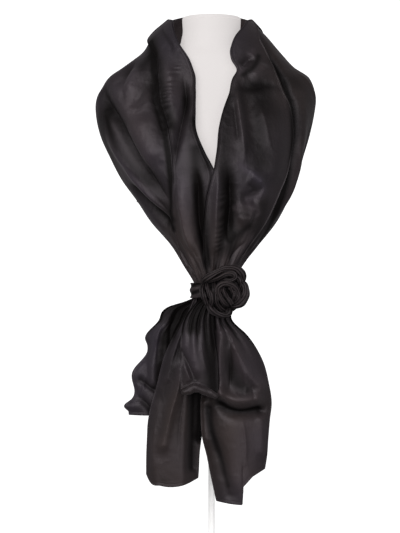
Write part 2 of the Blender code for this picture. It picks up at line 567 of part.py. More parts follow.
def make_tails():
    """The four hanging ends and the rolled fold that closes the centre one."""
    tail("tail_back_left", 8, 16, TAIL_BACK_LEFT, HEM_BACK_LEFT, BACK_LEFT_TAIL_FOLDS, 2)
    tail("tail_left", 12, 16, TAIL_LEFT, HEM_LEFT, LEFT_TAIL_FOLDS, 3)
    tail("tail_centre", 16, 10, TAIL_CENTRE, HEM_CENTRE, CENTRE_TAIL_FOLDS, 4)
    tail("tail_right", 16, 20, TAIL_RIGHT, HEM_RIGHT, RIGHT_TAIL_FOLDS, 4,
         STEP_COLUMNS, POUF_ROWS)
    path = smooth([(k,) + point for k, point in enumerate(ROLL_PATH)],
                  np.linspace(0, len(ROLL_PATH) - 1, ROLL_POINTS))
    curve = bpy.data.curves.new("tail_roll", "CURVE")
    curve.dimensions = "3D"
    curve.bevel_depth = ROLL_RADIUS
    curve.bevel_resolution = 1
    curve.use_fill_caps = True
    spline = curve.splines.new("POLY")
    spline.points.add(len(path) - 1)
    for k, (point, (x, z)) in enumerate(zip(spline.points, path)):
        point.co = (x, ROLL_Y, z, 1)
        fullness = math.sin(math.pi * k / (ROLL_POINTS - 1))
        point.radius = ROLL_END + (1 - ROLL_END) * fullness
    roll = bpy.data.objects.new("tail_roll", curve)
    curve.materials.append(paint("tail_roll", SILK, SILK_SHINE))
    bpy.data.collections[COLLECTION].objects.link(roll)


def petal(name, x, z, half_x, half_z, tilt, start, sweep, spiral, depth, flare):
    """One strip of the rose: it stands on the backing, winds round and rolls over."""
    def place(u, v):
        angle = np.radians(start + sweep * u)
        out = flare * v ** PETAL_FLARE_POWER + spiral * u
        across, up = (half_x + out) * np.cos(angle), (half_z + out) * np.sin(angle)
        lean = math.radians(tilt)
        rise = np.sin(np.minimum(v / PETAL_LIP, 1) * math.pi / 2)
        y = BACKING_Y - WALL - SEAM - depth * rise
        return np.stack([x + across * math.cos(lean) + up * math.sin(lean), y,
                         z - across * math.sin(lean) + up * math.cos(lean)], 1)
    sheet(name, max(6, round(sweep / PETAL_STEP)), PETAL_ROWS, place, PETAL_WALL)


def make_rosette():
    """The strap round the gather, the oval backing and the rose's coils."""
    def strap(u, v):
        turn = np.radians(STRAP_TURN * (2 * u - 1))
        bulge = STRAP_BULGE * np.sin(math.pi * v)
        return np.stack([STRAP_CENTRE[0] + (STRAP_HALF[0] + bulge) * np.sin(turn),
                         STRAP_CENTRE[1] - (STRAP_HALF[1] + bulge) * np.cos(turn),
                         STRAP_TOP + (STRAP_BOTTOM - STRAP_TOP) * v], 1)

    sheet("rosette_strap", 28, 3, strap, STRAP_WALL, flip=True)
    rings = []
    for y, share in ((BACKING_Y - WALL, BACKING_FRONT), (BACKING_Y, 1.0)):
        turn = np.linspace(0, 2 * math.pi, BACKING_SIDES, endpoint=False)
        rings.append(np.stack([BACKING_CENTRE[0] + BACKING_HALF[0] * share * np.cos(turn),
                               np.full(BACKING_SIDES, y),
                               BACKING_CENTRE[1] + BACKING_HALF[1] * share * np.sin(turn)], 1))
    loft("rosette_backing", rings, SILK, BACKING_SHINE)
    for row in PETALS:
        petal(*row)


def main():
    for thing in list(bpy.data.objects):
        bpy.data.objects.remove(thing)
    bpy.context.scene.collection.children.link(bpy.data.collections.new(COLLECTION))
    tree = make_form()
    make_body(tree)
    make_tails()
    make_rosette()


main()
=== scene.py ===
"""The finished surfaces of the evening stole and of the bust form that wears it.

Every stretch of silk is worked out on the same drape as the part's solids: rings round the
body, read by level (0 at the neck, 15 at the gather) and by turn (0 degrees in front, 90 at
+X, 180 behind). Folds are ridges and troughs along short paths. Metres unless mm is said,
+Z up, the front faces -Y.
"""

import math

import bmesh
import bpy
import numpy as np
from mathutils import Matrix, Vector
from mathutils.bvhtree import BVHTree


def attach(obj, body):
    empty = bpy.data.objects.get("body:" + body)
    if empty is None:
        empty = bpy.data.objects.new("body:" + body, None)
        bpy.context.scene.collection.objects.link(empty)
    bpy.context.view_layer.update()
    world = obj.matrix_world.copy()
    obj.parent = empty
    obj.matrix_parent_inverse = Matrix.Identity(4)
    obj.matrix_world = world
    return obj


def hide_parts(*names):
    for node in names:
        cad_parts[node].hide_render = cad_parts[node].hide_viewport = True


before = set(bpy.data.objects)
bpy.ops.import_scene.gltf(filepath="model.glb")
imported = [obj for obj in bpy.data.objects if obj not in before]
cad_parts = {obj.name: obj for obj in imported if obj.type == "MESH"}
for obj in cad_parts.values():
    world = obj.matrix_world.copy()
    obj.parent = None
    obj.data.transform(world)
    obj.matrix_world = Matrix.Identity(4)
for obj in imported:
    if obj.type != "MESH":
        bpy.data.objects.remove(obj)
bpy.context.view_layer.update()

SEAM = 0.0001            # between the back and the fronts
RIM_DROP = 0.16          # levels by which the collar sits lower behind the neck
WALL = 0.0013            # the doubled silk
CLEAR = 0.0014           # cloth to form, before its faces cut the corner
SHOULDER_RADIUS = 0.19
LEAST_COLUMN = 0.35      # degrees that a column of the grid takes at least
ROUNDED_STEPS = (0, 0.2, 0.6, 1.4)     # places of the first columns at a rounded edge
NO_EDGE = 0.05           # kept as the distance where no edge is rolled
EDGE_RADIUS = 0.0012     # how round the rolled edges are, and those of the turned collars
BACK_COLLAR_RADIUS, COLLAR_RADIUS = 0.0016, 0.0018
STITCH_IN, STITCH_WIDTH = 0.0045, 0.0006     # the stitched line, in from the edge

# How far the outer face stands off the drape, by level.
FLAT = ((0, 0), (15, 0))
COLLAR_LIFT = ((0, 0.0018), (0.7, 0.0042), (12, 0.0042), (14, 0.0025), (15, 0.0022))

# The bust form, from its neck down: height, half width, front and back depth.
FORM_RINGS = (
    # z, half_width, front_y, back_y
    (0.984, 0.0540, -0.050, 0.054),
    (0.955, 0.0545, -0.047, 0.060),
    (0.930, 0.0680, -0.049, 0.068),
    (0.915, 0.1020, -0.054, 0.075),
    (0.900, 0.1320, -0.058, 0.081),
    (0.885, 0.1560, -0.062, 0.086),
    (0.868, 0.1720, -0.067, 0.091),
    (0.845, 0.1800, -0.075, 0.096),
    (0.810, 0.1790, -0.087, 0.102),
    (0.770, 0.1690, -0.099, 0.105),
    (0.730, 0.1520, -0.108, 0.105),
    (0.690, 0.1320, -0.108, 0.100),
    (0.650, 0.1090, -0.098, 0.091),
    (0.610, 0.0850, -0.082, 0.078),
    (0.570, 0.0610, -0.062, 0.060),
    (0.535, 0.0390, -0.041, 0.040),
    (0.512, 0.0240, -0.025, 0.024),
)
FORM_SIDES = 96
FORM_GAP = 0.0006        # between the form's parts

# The cap over the neck: share of the neck's outline, rise.
CAP_PROFILE = ((0.0, 0.0006), (1.0, 0.0006), (1.0, 0.0030), (0.992, 0.0046), (0.972, 0.0058),
               (0.94, 0.0063), (0.90, 0.0066), (0.5, 0.0066), (0.0, 0.0066))
POLE_RADIUS = 0.006
BASE_HEIGHT = 0.012

# The disc base: radius, height.
BASE_PROFILE = ((0, 0.012), (0.129, 0.012), (0.1318, 0.0113), (0.134, 0.0092), (0.135, 0.006),
                (0.135, 0.0008), (0.1342, 0), (0, 0))

# The drape that the cloth follows: one ring for each level.
DRAPE_RINGS = (
    # z_front, z_side, z_back, half_left, half_right, front_y, side_y, back_y
    (0.965, 0.985, 1.012, 0.080, 0.074, -0.045, 0.010, 0.080),
    (0.935, 0.955, 0.985, 0.110, 0.104, -0.060, 0.012, 0.090),
    (0.905, 0.925, 0.955, 0.130, 0.130, -0.070, 0.012, 0.095),
    (0.877, 0.900, 0.925, 0.172, 0.158, -0.078, 0.010, 0.100),
    (0.850, 0.880, 0.900, 0.200, 0.187, -0.086, 0.008, 0.106),
    (0.820, 0.850, 0.865, 0.214, 0.195, -0.099, 0.005, 0.115),
    (0.785, 0.810, 0.825, 0.214, 0.190, -0.114, 0.002, 0.122),
    (0.750, 0.770, 0.785, 0.205, 0.181, -0.127, 0.000, 0.126),
    (0.715, 0.730, 0.745, 0.187, 0.169, -0.135, -0.003, 0.126),
    (0.680, 0.690, 0.705, 0.166, 0.158, -0.136, -0.010, 0.122),
    (0.643, 0.650, 0.660, 0.137, 0.140, -0.133, -0.022, 0.116),
    (0.606, 0.610, 0.620, 0.110, 0.118, -0.129, -0.042, 0.100),
    (0.568, 0.570, 0.570, 0.075, 0.086, -0.124, -0.068, 0.010),
    (0.539, 0.540, 0.540, 0.055, 0.061, -0.120, -0.088, -0.045),
    (0.512, 0.512, 0.512, 0.037, 0.043, -0.1185, -0.099, -0.076),
    (0.488, 0.488, 0.488, 0.025, 0.035, -0.1160, -0.100, -0.086),
)

# Lines on the drape that the cloth's grids keep to, as (level, turn): the neck edges of the
# layers, the turned collars' outer edges, the left crease and the fronts' outer edge.
NECK_LEFT = ((0.0, -62), (0.7, -42), (1.4, -29), (2.1, -19), (2.9, -12.2), (4.1, -9.5),
             (5.3, -9), (6.4, -8.8), (7.5, -5.5), (8.7, -1.2), (9.9, -5), (10.8, -7.5),
             (12.3, -13), (13.6, -12.5), (15, -9))
UNDER_LEFT = ((0.0, -61), (0.7, -41), (1.4, -28), (2.1, -18), (2.9, -11.2), (4.1, -8.5),
              (5.3, -8), (6.4, -7.8), (7.5, -4), (8.7, 2), (9.9, 3), (10.8, 3),
              (12.3, 1), (13.6, 1), (15, -5))
NECK_RIGHT = ((0.0, 58), (0.5, 33.5), (1.35, 18), (2.0, 15.8), (2.8, 17.5), (3.45, 12.5),
              (4.5, 9.2), (5.4, 6), (6.25, 4), (7.4, 3), (8.7, 0.6), (9.9, -3.5),
              (10.8, -6), (12.3, -11), (13.6, -10), (15, -6.5))
COLLAR_EDGE_LEFT = ((0.0, -88.5), (1.1, -86), (1.55, -68), (2.3, -44), (3.65, -30.2),
                    (4.9, -25.8), (6.1, -22), (7.0, -21.2), (8.0, -22), (8.9, -23.4),
                    (9.9, -28.8), (10.6, -34), (11.3, -40), (12.1, -52), (12.8, -58),
                    (13.6, -54), (15, -50))
COLLAR_EDGE_RIGHT = ((0.0, 84), (0.35, 70), (1.0, 54), (1.8, 49.8), (2.8, 45.5), (3.8, 40.5),
                     (4.8, 41.5), (5.6, 46.5), (6.4, 49.8), (7.4, 53), (8.3, 54),
                     (9.25, 53), (10.2, 52.5), (11.1, 51.5), (11.9, 51), (13.0, 52),
                     (15, 45))
CREASE_LEFT = ((0.0, -89.2), (2.0, -87), (3.6, -80), (5.05, -68), (6.15, -53), (7.8, -46.2),
               (9.2, -39), (10.1, -37), (10.7, -44), (11.4, -56), (12.1, -70), (12.8, -78),
               (13.6, -78), (15, -78))
OUTER_EDGE = ((0, 90), (10, 90), (11.0, 95), (12.0, 107), (13.0, 121), (15.0, 140))

# The back's lower edge and its collar's, as (turn, level).
BACK_EDGE = ((90, 10), (112, 10.1), (140, 9.8), (180, 9.5), (220, 9.8), (248, 10.1),
             (270, 10))
COLLAR_EDGE_BACK = ((90, 0.15), (98, 0.45), (112, 0.85), (180, 1.3), (240, 1.35), (270, 1.2))

# Folds on the drape: height out of the cloth (troughs negative) and half width in mm,
# then the path as (level, turn).
LEFT_FOLDS = (
    (-13, 12, ((4.2, -75), (5.0, -68), (6.2, -53), (7.8, -46), (9.2, -39), (10.1, -33))),
    (8, 11, ((6.6, -70), (8.1, -60), (9.6, -50), (10.6, -40))),
    (-12, 11, ((9.0, -74), (10.0, -62), (10.8, -50), (11.3, -44))),
    (-6, 10, ((3.0, -40), (4.1, -36), (4.9, -38), (5.6, -42))),
    (6, 11, ((2.8, -52), (3.9, -47), (4.9, -46))),
    (-6, 10, ((2.4, -66), (3.6, -57), (4.7, -54))),
    (9, 28, ((5.6, -38), (7.0, -35), (8.4, -32))),
    (-6, 9, ((2.4, -48), (3.7, -33.5), (4.9, -29), (6.1, -25), (8.0, -25.5))),
    (6, 11, ((2.0, -34), (3.6, -23), (4.9, -19.5), (6.1, -18.5))),
    (-8, 8, ((3.0, -16), (4.5, -13), (5.4, -13.2), (6.9, -17), (8.7, -23))),
    (8, 11, ((8.6, -17), (9.9, -21), (10.9, -23), (11.8, -27), (12.8, -27))),
    (-9, 8, ((8.2, -9), (9.2, -9), (10.1, -10.5), (11.1, -12.2), (12, -12), (13, -12))),
    (-6, 12, ((8.7, 3), (9.9, 1), (10.8, -1), (12.3, -6), (13.6, -6), (15, -3))),
)
RIGHT_FOLDS = (
    (7, 16, ((4.6, 60), (6.6, 62), (8.1, 68), (9.6, 69), (11.0, 67))),
    (6, 8, ((3.5, 14.5), (4.8, 13.5), (5.9, 15.2), (6.9, 17.2), (8.4, 18.2))),
    (-5, 14, ((4.1, 20.5), (5.4, 20), (6.4, 22.5), (8.2, 27))),
    (9, 26, ((4.9, 30), (6.0, 33), (7.0, 37), (8.5, 40), (9.5, 44))),
    (-11, 10, ((7.6, 9.5), (9.2, 12), (10.1, 14.2), (11.1, 15.2), (12.0, 17))),
    (7, 8, ((8.0, 3.5), (9.4, 3.5), (10.6, 3.2), (11.8, 3), (13.0, 0))),
    (6, 13, ((8.7, 22), (8.9, 28), (9.2, 36))),
    (-7, 13, ((10.0, 20), (9.8, 28), (9.9, 36))),
    (6, 13, ((10.8, 20), (10.7, 28), (10.8, 36))),
    (-7, 8, ((2.0, 35), (2.3, 27), (2.7, 20))),
    (6, 10, ((2.6, 42), (3.1, 32), (3.5, 22))),
    (-4, 9, ((3.9, 12), (4.1, 20), (4.1, 31), (4.4, 42))),
)
RIGHT_UNDER_FOLDS = (
    (-11, 10, ((0.7, 66), (1.1, 58), (1.8, 54), (2.8, 49), (3.8, 44), (4.8, 45), (5.6, 50),
               (6.4, 53), (7.4, 56), (8.3, 57), (9.3, 56), (10.2, 56), (11.1, 56),
               (12, 56))),
)
BACK_FOLDS = (
    (9, 16, ((4.4, 96), (5.6, 130), (6.2, 180), (5.4, 232), (4.2, 262))),
    (-8, 14, ((5.2, 98), (6.6, 138), (7.0, 186), (6.4, 228), (5.2, 260))),
    (9, 16, ((6.6, 97), (7.6, 128), (8.0, 172), (7.5, 226), (6.3, 262))),
    (-8, 14, ((8.0, 102), (8.7, 150), (8.8, 200), (8.0, 255))),
    (-7, 14, ((3.0, 122), (4.0, 150), (4.4, 196), (3.4, 236))),
)

# Where the cloth sinks between the shoulders and the neck.
SHOULDER_SEATS = (
    (-16, 24, ((3.2, 98), (4.3, 96))),
    (-24, 26, ((3.2, 262), (4.3, 264))),
)

# Finer creases with a sharper crest, in the same way.
LEFT_CREASES = (
    (-3.0, 4.5, ((5.05, -68), (5.6, -59), (6.15, -52.5), (7.0, -48), (7.8, -46), (8.6, -43),
                 (9.2, -39), (9.7, -35), (10.1, -32))),
    (-3.0, 5.0, ((8.1, -66.5), (8.55, -57), (9.15, -50.5), (9.8, -45), (10.3, -40),
                 (10.7, -35.5))),
    (-3.0, 4.5, ((9.3, -67), (9.95, -60), (10.4, -54), (10.8, -46), (11.15, -41))),
    (-2.5, 4.0, ((2.1, -19), (3.5, -15.5), (4.5, -12.8), (5.35, -13.2), (6.1, -15), (6.9, -17),
                 (7.95, -20), (8.75, -23.5))),
    (3.0, 7.0, ((8.95, -21), (9.9, -24), (10.85, -25.5), (11.75, -28), (12.9, -28), (14, -22))),
    (-3.0, 4.5, ((8.2, -8.8), (9.2, -8.8), (10.1, -10.5), (11.1, -12.2), (12, -12), (13, -11))),
    (2.5, 6.0, ((3, -40.5), (4.1, -35.5), (4.9, -37), (5.6, -42))),
    (-2.5, 5.0, ((2.6, -64), (3.6, -55), (4.7, -50), (5.6, -47))),
    (-3.0, 5.0, ((0.3, -77), (1.15, -42), (1.9, -34))),
)
RIGHT_CREASES = (
    (2.5, 5.0, ((3.5, 15), (4.8, 13.5), (5.9, 15), (6.9, 17), (7.7, 19), (8.35, 18))),
    (2.5, 8.0, ((4.9, 24), (5.95, 28), (7, 32), (7.8, 36))),
    (2.7, 8.5, ((8.25, 17.5), (8.55, 23), (8.97, 29.8), (9.35, 36), (9.73, 35.2), (9.9, 27))),
    (-2.4, 6.5, ((9.05, 20.5), (9.25, 26), (9.45, 29.8), (9.58, 24.8))),
    (2.4, 8.5, ((10.28, 17), (10.12, 24.5), (10.3, 34), (10.58, 40), (10.9, 34.2))),
    (-2.2, 6.5, ((10.65, 19.8), (10.53, 26.2), (10.62, 32.2))),
    (-3.0, 5.0, ((4.8, 11), (6.1, 13), (7.2, 15))),
    (-3.5, 5.0, ((8.2, 10.5), (9.2, 12), (10.1, 14), (11.1, 15), (12, 17))),
    (3.0, 5.0, ((8.2, 4), (9.4, 3.5), (10.6, 3), (11.75, 3.5))),
    (-3.0, 5.0, ((11.8, 39.5), (12.3, 33), (13.05, 29))),
    (-2.5, 4.5, ((2.0, 34.5), (2.3, 27), (2.7, 20))),
)
RIGHT_OUTER_CREASES = (
    (3.0, 8.0, ((6.65, 56), (8.1, 67.5), (9.05, 68), (10.2, 70), (11.1, 67))),
    (-3.0, 6.0, ((6.0, 76), (7.4, 80), (8.8, 79), (10.4, 78))),
    (-3.0, 5.0, ((10.2, 86), (11.4, 80), (12.6, 74), (13.6, 68))),
    (2.5, 6.0, ((3.4, 62), (4.6, 70), (5.8, 84))),
)
BACK_CREASES = (
    (-3.0, 6.0, ((4.9, 104), (6.0, 140), (6.4, 182), (5.8, 226), (4.8, 256))),
    (3.0, 8.0, ((2.4, 118), (3.2, 150), (3.6, 190), (2.8, 240))),
    (-3.0, 6.0, ((7.2, 110), (8.1, 150), (8.4, 190), (7.8, 240))),
    (-2.5, 5.0, ((8.6, 128), (9.1, 160), (9.2, 196))),
    (2.5, 6.0, ((6.2, 200), (7.0, 226), (7.4, 250))),
    (-2.5, 5.0, ((1.8, 140), (2.3, 170), (2.4, 200))),
)

# Painted highlights and painted shade: strength (below 0 for shade), half width in mm, path as
# (level, turn).
BODY_SHADES = (
    (-0.75, 10, ((7.4, -9), (8.7, -9), (9.8, -9), (11.2, -8), (13.1, -9))),
    (-0.55, 13, ((4.8, 9), (5.8, 8), (7.2, 7), (8.2, 7), (10.3, 8), (12.1, 11))),
    (-0.75, 13, ((1.5, -66), (2.7, -38), (3.9, -28), (5.3, -23), (6.2, -22))),
    (0.95, 22, ((4.2, -50), (6, -40), (7.8, -36))),
    (-0.45, 12, ((2.1, -56), (3.4, -46), (5, -48))),
    (-0.15, 5, ((3.7, 15), (3.9, 23), (4.1, 33), (4.5, 40))),
    (-0.5, 10, ((4.3, 14.2), (5.88, 15.2), (7.43, 17.8))),
    (-0.45, 14, ((10.18, 41), (11.1, 45.8), (12.03, 53.2))),
    (0.7, 6, ((2.9, 18), (2.3, 27), (1.7, 37))),
    (-0.25, 20, ((3.4, 28), (4.6, 30), (5.6, 34))),
    (-0.6, 5, ((3.2, 20), (2.8, 29), (2.1, 39))),
    (-0.6, 22, ((4.4, 24), (5.9, 26), (8.0, 29))),
    (-1.2, 7, ((2.5, 50), (4.2, 44), (5.8, 49), (7.4, 54), (8.6, 58), (10.2, 62), (11.7, 72))),
    (-0.3, 18, ((4, 52), (5.4, 58), (6.8, 62))),
    (0.5, 7, ((13.1, 25), (12.2, 35), (11.7, 45))),
    (-0.6, 7, ((11.7, 20), (11.4, 28), (11.1, 34))),
    (0.8, 6, ((8.25, 17.5), (8.55, 23), (8.97, 29.8), (9.35, 36), (9.73, 35.2), (9.9, 27))),
    (0.6, 6, ((10.28, 17), (10.12, 24.5), (10.3, 34))),
    (-0.6, 8, ((10.12, 12.8), (10.93, 15.5), (11.75, 21.2), (12.78, 27.5))),
    (0.6, 9, ((10.6, -22.2), (11.53, -27.8), (12.4, -34.2), (13.78, -36.2))),
    (0.5, 8, ((8, -64), (8.7, -58), (9.4, -54))),
    (-0.7, 7, ((5.8, -64), (7.5, -60), (9, -48), (9.9, -42), (10.8, -35))),
    (-0.6, 6, ((9.3, -67), (10.2, -55), (11.2, -41))),
    (0.4, 8, ((9.5, -46), (10.1, -41), (10.7, -34))),
    (0.45, 8, ((8.9, -18), (9.9, -19), (11.2, -22), (12.7, -24))),
    (-0.4, 8, ((5.3, -19), (6.4, -20), (7.7, -23), (8.9, -25))),
    (0.35, 8, ((4.5, -17), (5.8, -15), (7, -18))),
    (0.4, 14, ((5, 56), (6.2, 63), (7.7, 68), (9.5, 72))),
    (-0.5, 22, ((6.2, -72), (8.1, -80), (9.7, -90), (11.1, -90))),
    (-0.25, 9, ((4.7, -13), (5.8, -10), (6.9, -11))),
    (-0.7, 9, ((5.9, -8), (7.2, -5), (8.2, -2))),
    (-0.9, 5, ((1.4, -68), (2.3, -47), (3.6, -33), (4.9, -28.5), (6.1, -24.5), (7.0, -23.7),
               (8.0, -24.5), (8.9, -26), (9.9, -31), (10.6, -36), (11.3, -42))),
)

# Fine gathers: depth in mm, degrees each takes above the strap or count across an
# end, and how far their phase drifts.
FINE_GATHERS = ((0.5, 9.3, 1.6), (0.25, 5.1, 2.1))
FINE_GATHER_FADE = ((10.8, 0), (12.6, 0.7), (13.8, 1), (15, 0.8))
TAIL_GATHERS = ((0.9, 5.3, 1.1), (0.6, 8.7, 1.9))
TAIL_GATHER_FADE = ((0.39, 0), (0.44, 0.6), (0.47, 1), (0.484, 0.4))

# Gathers above the strap: depth, degrees that each takes, and their share by level.
GATHER_DEPTH = 0.0014
GATHER_TURN = 20
GATHER_FADE = ((11.2, 0), (13.2, 1), (14, 0.8), (15, 0.3))

# How folds act: reach in metres for each mm of half width, the share of their length over
# which they run out, and the painted shade in the troughs and painted highlight on the
# ridges of those under a half width in mm, full at a height.
FOLD_REACH = 0.0032
FOLD_TAPER, BACK_TAPER = 0.3, 0.16
NARROW_FOLD, FULL_FOLD, FOLD_PAINTED_LIGHT = 13, 9, 0.7
# Painted light of the gathers: painted highlight where a gather stands out, painted shade where
# it sinks.
GATHER_PAINTED_LIGHT = 220        # for each metre that a gather stands out

# Crinkled strips of the collars.
CRINKLE_DEPTH = 0.0008
CRINKLES = (
    # turn, its half width, first and last level
    (-22.5, 2.4, 2.4, 6.8),
    (7.0, 3.0, 9.2, 12.6),
)

# Level of each row of the cloth's grid: closer where the fronts are drawn in.
LEVEL_OF_ROW = ((0, 0), (13, 9), (15, 10), (19, 12), (25, 15))

# The hanging ends: sections from the strap down.
TAIL_TOP = 0.484
TAIL_BACK_LEFT = (
    # z, left, right, y, set_back at the edges
    (0.484, -0.0276, -0.012, -0.0940, 0.000),
    (0.475, -0.0308, -0.015, -0.0930, 0.001),
    (0.468, -0.0460, -0.022, -0.0890, 0.003),
    (0.456, -0.0780, -0.030, -0.0850, 0.008),
    (0.431, -0.0961, -0.042, -0.0800, 0.012),
    (0.400, -0.1200, -0.050, -0.0780, 0.012),
    (0.388, -0.1160, -0.053, -0.0770, 0.012),
    (0.377, -0.1160, -0.056, -0.0770, 0.012),
    (0.340, -0.1425, -0.065, -0.0760, 0.010),
    (0.290, -0.1443, -0.075, -0.0760, 0.010),
    (0.277, -0.1580, -0.078, -0.0760, 0.010),
    (0.268, -0.1500, -0.079, -0.0760, 0.010),
    (0.262, -0.1496, -0.080, -0.0760, 0.010),
)
TAIL_LEFT = (
    (0.484, -0.0330, -0.0060, -0.0990, 0.000),
    (0.474, -0.0346, -0.0070, -0.1000, 0.002),
    (0.426, -0.0569, -0.0100, -0.1050, 0.010),
    (0.372, -0.0837, -0.0140, -0.1040, 0.016),
    (0.319, -0.0979, -0.0150, -0.1020, 0.020),
    (0.246, -0.1150, -0.0165, -0.1020, 0.022),
    (0.222, -0.1160, -0.0195, -0.1030, 0.022),
    (0.200, -0.1170, -0.0225, -0.1040, 0.022),
    (0.158, -0.1175, -0.0249, -0.1050, 0.022),
    (0.135, -0.1175, -0.0266, -0.1050, 0.022),
)
TAIL_CENTRE = (
    (0.484, -0.0160, 0.0100, -0.1176, 0.002),
    (0.474, -0.0190, 0.0060, -0.1172, 0.003),
    (0.462, -0.0310, 0.0030, -0.1166, 0.003),
    (0.440, -0.0460, 0.0000, -0.1188, 0.004),
    (0.404, -0.0545, 0.0040, -0.1230, 0.0068),
    (0.363, -0.0552, 0.0090, -0.1280, 0.0088),
    (0.305, -0.0552, 0.0108, -0.1280, 0.006),
)
TAIL_RIGHT = (
    (0.484, -0.0035, 0.0430, -0.1005, 0.000),
    (0.470, -0.0045, 0.0416, -0.1025, 0.003),
    (0.434, -0.0065, 0.0350, -0.1070, 0.008),
    (0.406, -0.0090, 0.0625, -0.1090, 0.014),
    (0.367, -0.0125, 0.0874, -0.1100, 0.020),
    (0.319, -0.0165, 0.1017, -0.1100, 0.026),
    (0.283, -0.0195, 0.1065, -0.1090, 0.026),
    (0.256, -0.0190, 0.1034, -0.1080, 0.024),
    (0.222, -0.0165, 0.1005, -0.1070, 0.022),
    (0.189, -0.0085, 0.0981, -0.1060, 0.022),
    (0.167, -0.0040, 0.0945, -0.1060, 0.020),
    (0.105, 0.0095, 0.0860, -0.1060, 0.016),
)

# Their hems, from left to right: share of the width, height.
HEM_BACK_LEFT = ((0, 0.2627), (1, 0.2615))
HEM_LEFT = ((0, 0.158), (0.06, 0.147), (0.29, 0.139), (0.78, 0.1415), (1, 0.1505))
HEM_CENTRE = ((0, 0.3120), (0.4, 0.3225), (0.65, 0.3175), (1, 0.3060))
HEM_RIGHT = ((0, 0.1103), (0.3, 0.1068), (0.575, 0.105), (0.60, 0.137), (0.78, 0.155),
             (1, 0.1674))
HEM_REACH = 6            # how closely a hem's shape keeps to the hem

# Share of the width at each share of the columns. The right end's columns close up where
# its hem steps up at a corner.
EVEN_COLUMNS = ((0, 0), (1, 1))
STEP_COLUMNS = ((0, 0), (0.5625, 0.575), (0.625, 0.60), (1, 1))

# Folds of the ends: height forwards and half width in mm, path as (x, z).
BACK_LEFT_TAIL_FOLDS = (
    (6, 7, ((-0.095, 0.42), (-0.105, 0.38), (-0.107, 0.32))),
    (-5, 6, ((-0.128, 0.324), (-0.098, 0.306))),
    (-4, 6, ((-0.128, 0.292), (-0.107, 0.265))),
    (5, 8, ((-0.06, 0.47), (-0.08, 0.43), (-0.085, 0.36))),
)
LEFT_TAIL_FOLDS = (
    (9, 10, ((-0.055, 0.345), (-0.0585, 0.3188), (-0.0712, 0.2743), (-0.0872, 0.2119))),
    (-9, 9, ((-0.026, 0.42), (-0.033, 0.3), (-0.036, 0.17))),
    (-9, 9, ((-0.014, 0.37), (-0.015, 0.33), (-0.0165, 0.246), (-0.0195, 0.222))),
    (5, 6, ((-0.036, 0.47), (-0.052, 0.42), (-0.07, 0.37), (-0.08, 0.33))),
    (4, 4, ((-0.028, 0.475), (-0.034, 0.43))),
    (4, 12, ((-0.098, 0.28), (-0.104, 0.22), (-0.102, 0.14))),
    (3, 10, ((-0.045, 0.3), (-0.05, 0.22), (-0.052, 0.14))),
)
CENTRE_TAIL_FOLDS = (
    (5, 12, ((-0.034, 0.4), (-0.028, 0.35))),
    (-4, 6, ((-0.052, 0.378), (-0.0302, 0.33))),
    (3, 6, ((-0.048, 0.352), (-0.043, 0.33))),
)
RIGHT_TAIL_FOLDS = (
    (12, 11, ((0.014, 0.41), (0.0135, 0.38), (0.0135, 0.35), (0.0143, 0.305))),
    (9, 11, ((0.04, 0.385), (0.052, 0.358), (0.0677, 0.336), (0.089, 0.316))),
    (11, 12, ((0.012, 0.3045), (0.024, 0.296), (0.0482, 0.2915), (0.08, 0.295))),
    (-9, 10, ((0.017, 0.284), (0.03, 0.274), (0.052, 0.269), (0.085, 0.272))),
    (-6, 8, ((0.0, 0.4), (-0.001, 0.34))),
    (-5, 10, ((-0.006, 0.275), (-0.0035, 0.2386), (0.0143, 0.1941), (0.025, 0.1496),
              (0.0321, 0.1228))),
    (6, 8, ((-0.015, 0.283), (-0.011, 0.222))),
    (6, 10, ((0.0892, 0.256), (0.091, 0.2))),
    (4, 26, ((0.036, 0.24), (0.044, 0.15))),
)

# Pleats of the ends under the strap: depth, and their share by height.
TAIL_PLEAT_DEPTH = 0.0022
TAIL_PLEAT_FADE = ((0.36, 0), (0.43, 1), (0.46, 0.6), (0.475, 0.3), (0.484, 0.2))

# Finer creases of the ends, in the same way.
TAIL_CREASES_BACK_LEFT = (
    (-2.5, 4, ((-0.128, 0.324), (-0.112, 0.312), (-0.098, 0.3))),
    (-2.5, 4, ((-0.128, 0.292), (-0.115, 0.28), (-0.107, 0.265))),
    (2.5, 5, ((-0.07, 0.456), (-0.092, 0.42), (-0.1, 0.385), (-0.104, 0.34))),
    (-2.5, 5, ((-0.05, 0.468), (-0.072, 0.43), (-0.078, 0.37))),
    (2.0, 5, ((-0.118, 0.345), (-0.124, 0.31), (-0.13, 0.28))),
)
TAIL_CREASES_LEFT = (
    (2.5, 5, ((-0.055, 0.345), (-0.0585, 0.3188), (-0.0712, 0.2743), (-0.0872, 0.2119))),
    (-2.5, 5, ((-0.044, 0.36), (-0.05, 0.3), (-0.058, 0.24), (-0.06, 0.18))),
    (2.0, 4, ((-0.036, 0.465), (-0.048, 0.42), (-0.064, 0.37))),
    (-2.0, 4, ((-0.041, 0.455), (-0.056, 0.4), (-0.074, 0.345))),
    (2.0, 6, ((-0.1, 0.26), (-0.106, 0.21), (-0.104, 0.16))),
)
TAIL_CREASES_CENTRE = (
    (-2.5, 4, ((-0.052, 0.378), (-0.041, 0.355), (-0.0302, 0.33))),
    (2.0, 4, ((-0.048, 0.352), (-0.043, 0.34), (-0.036, 0.325))),
    (2.0, 5, ((-0.02, 0.4), (-0.016, 0.37), (-0.006, 0.33))),
)
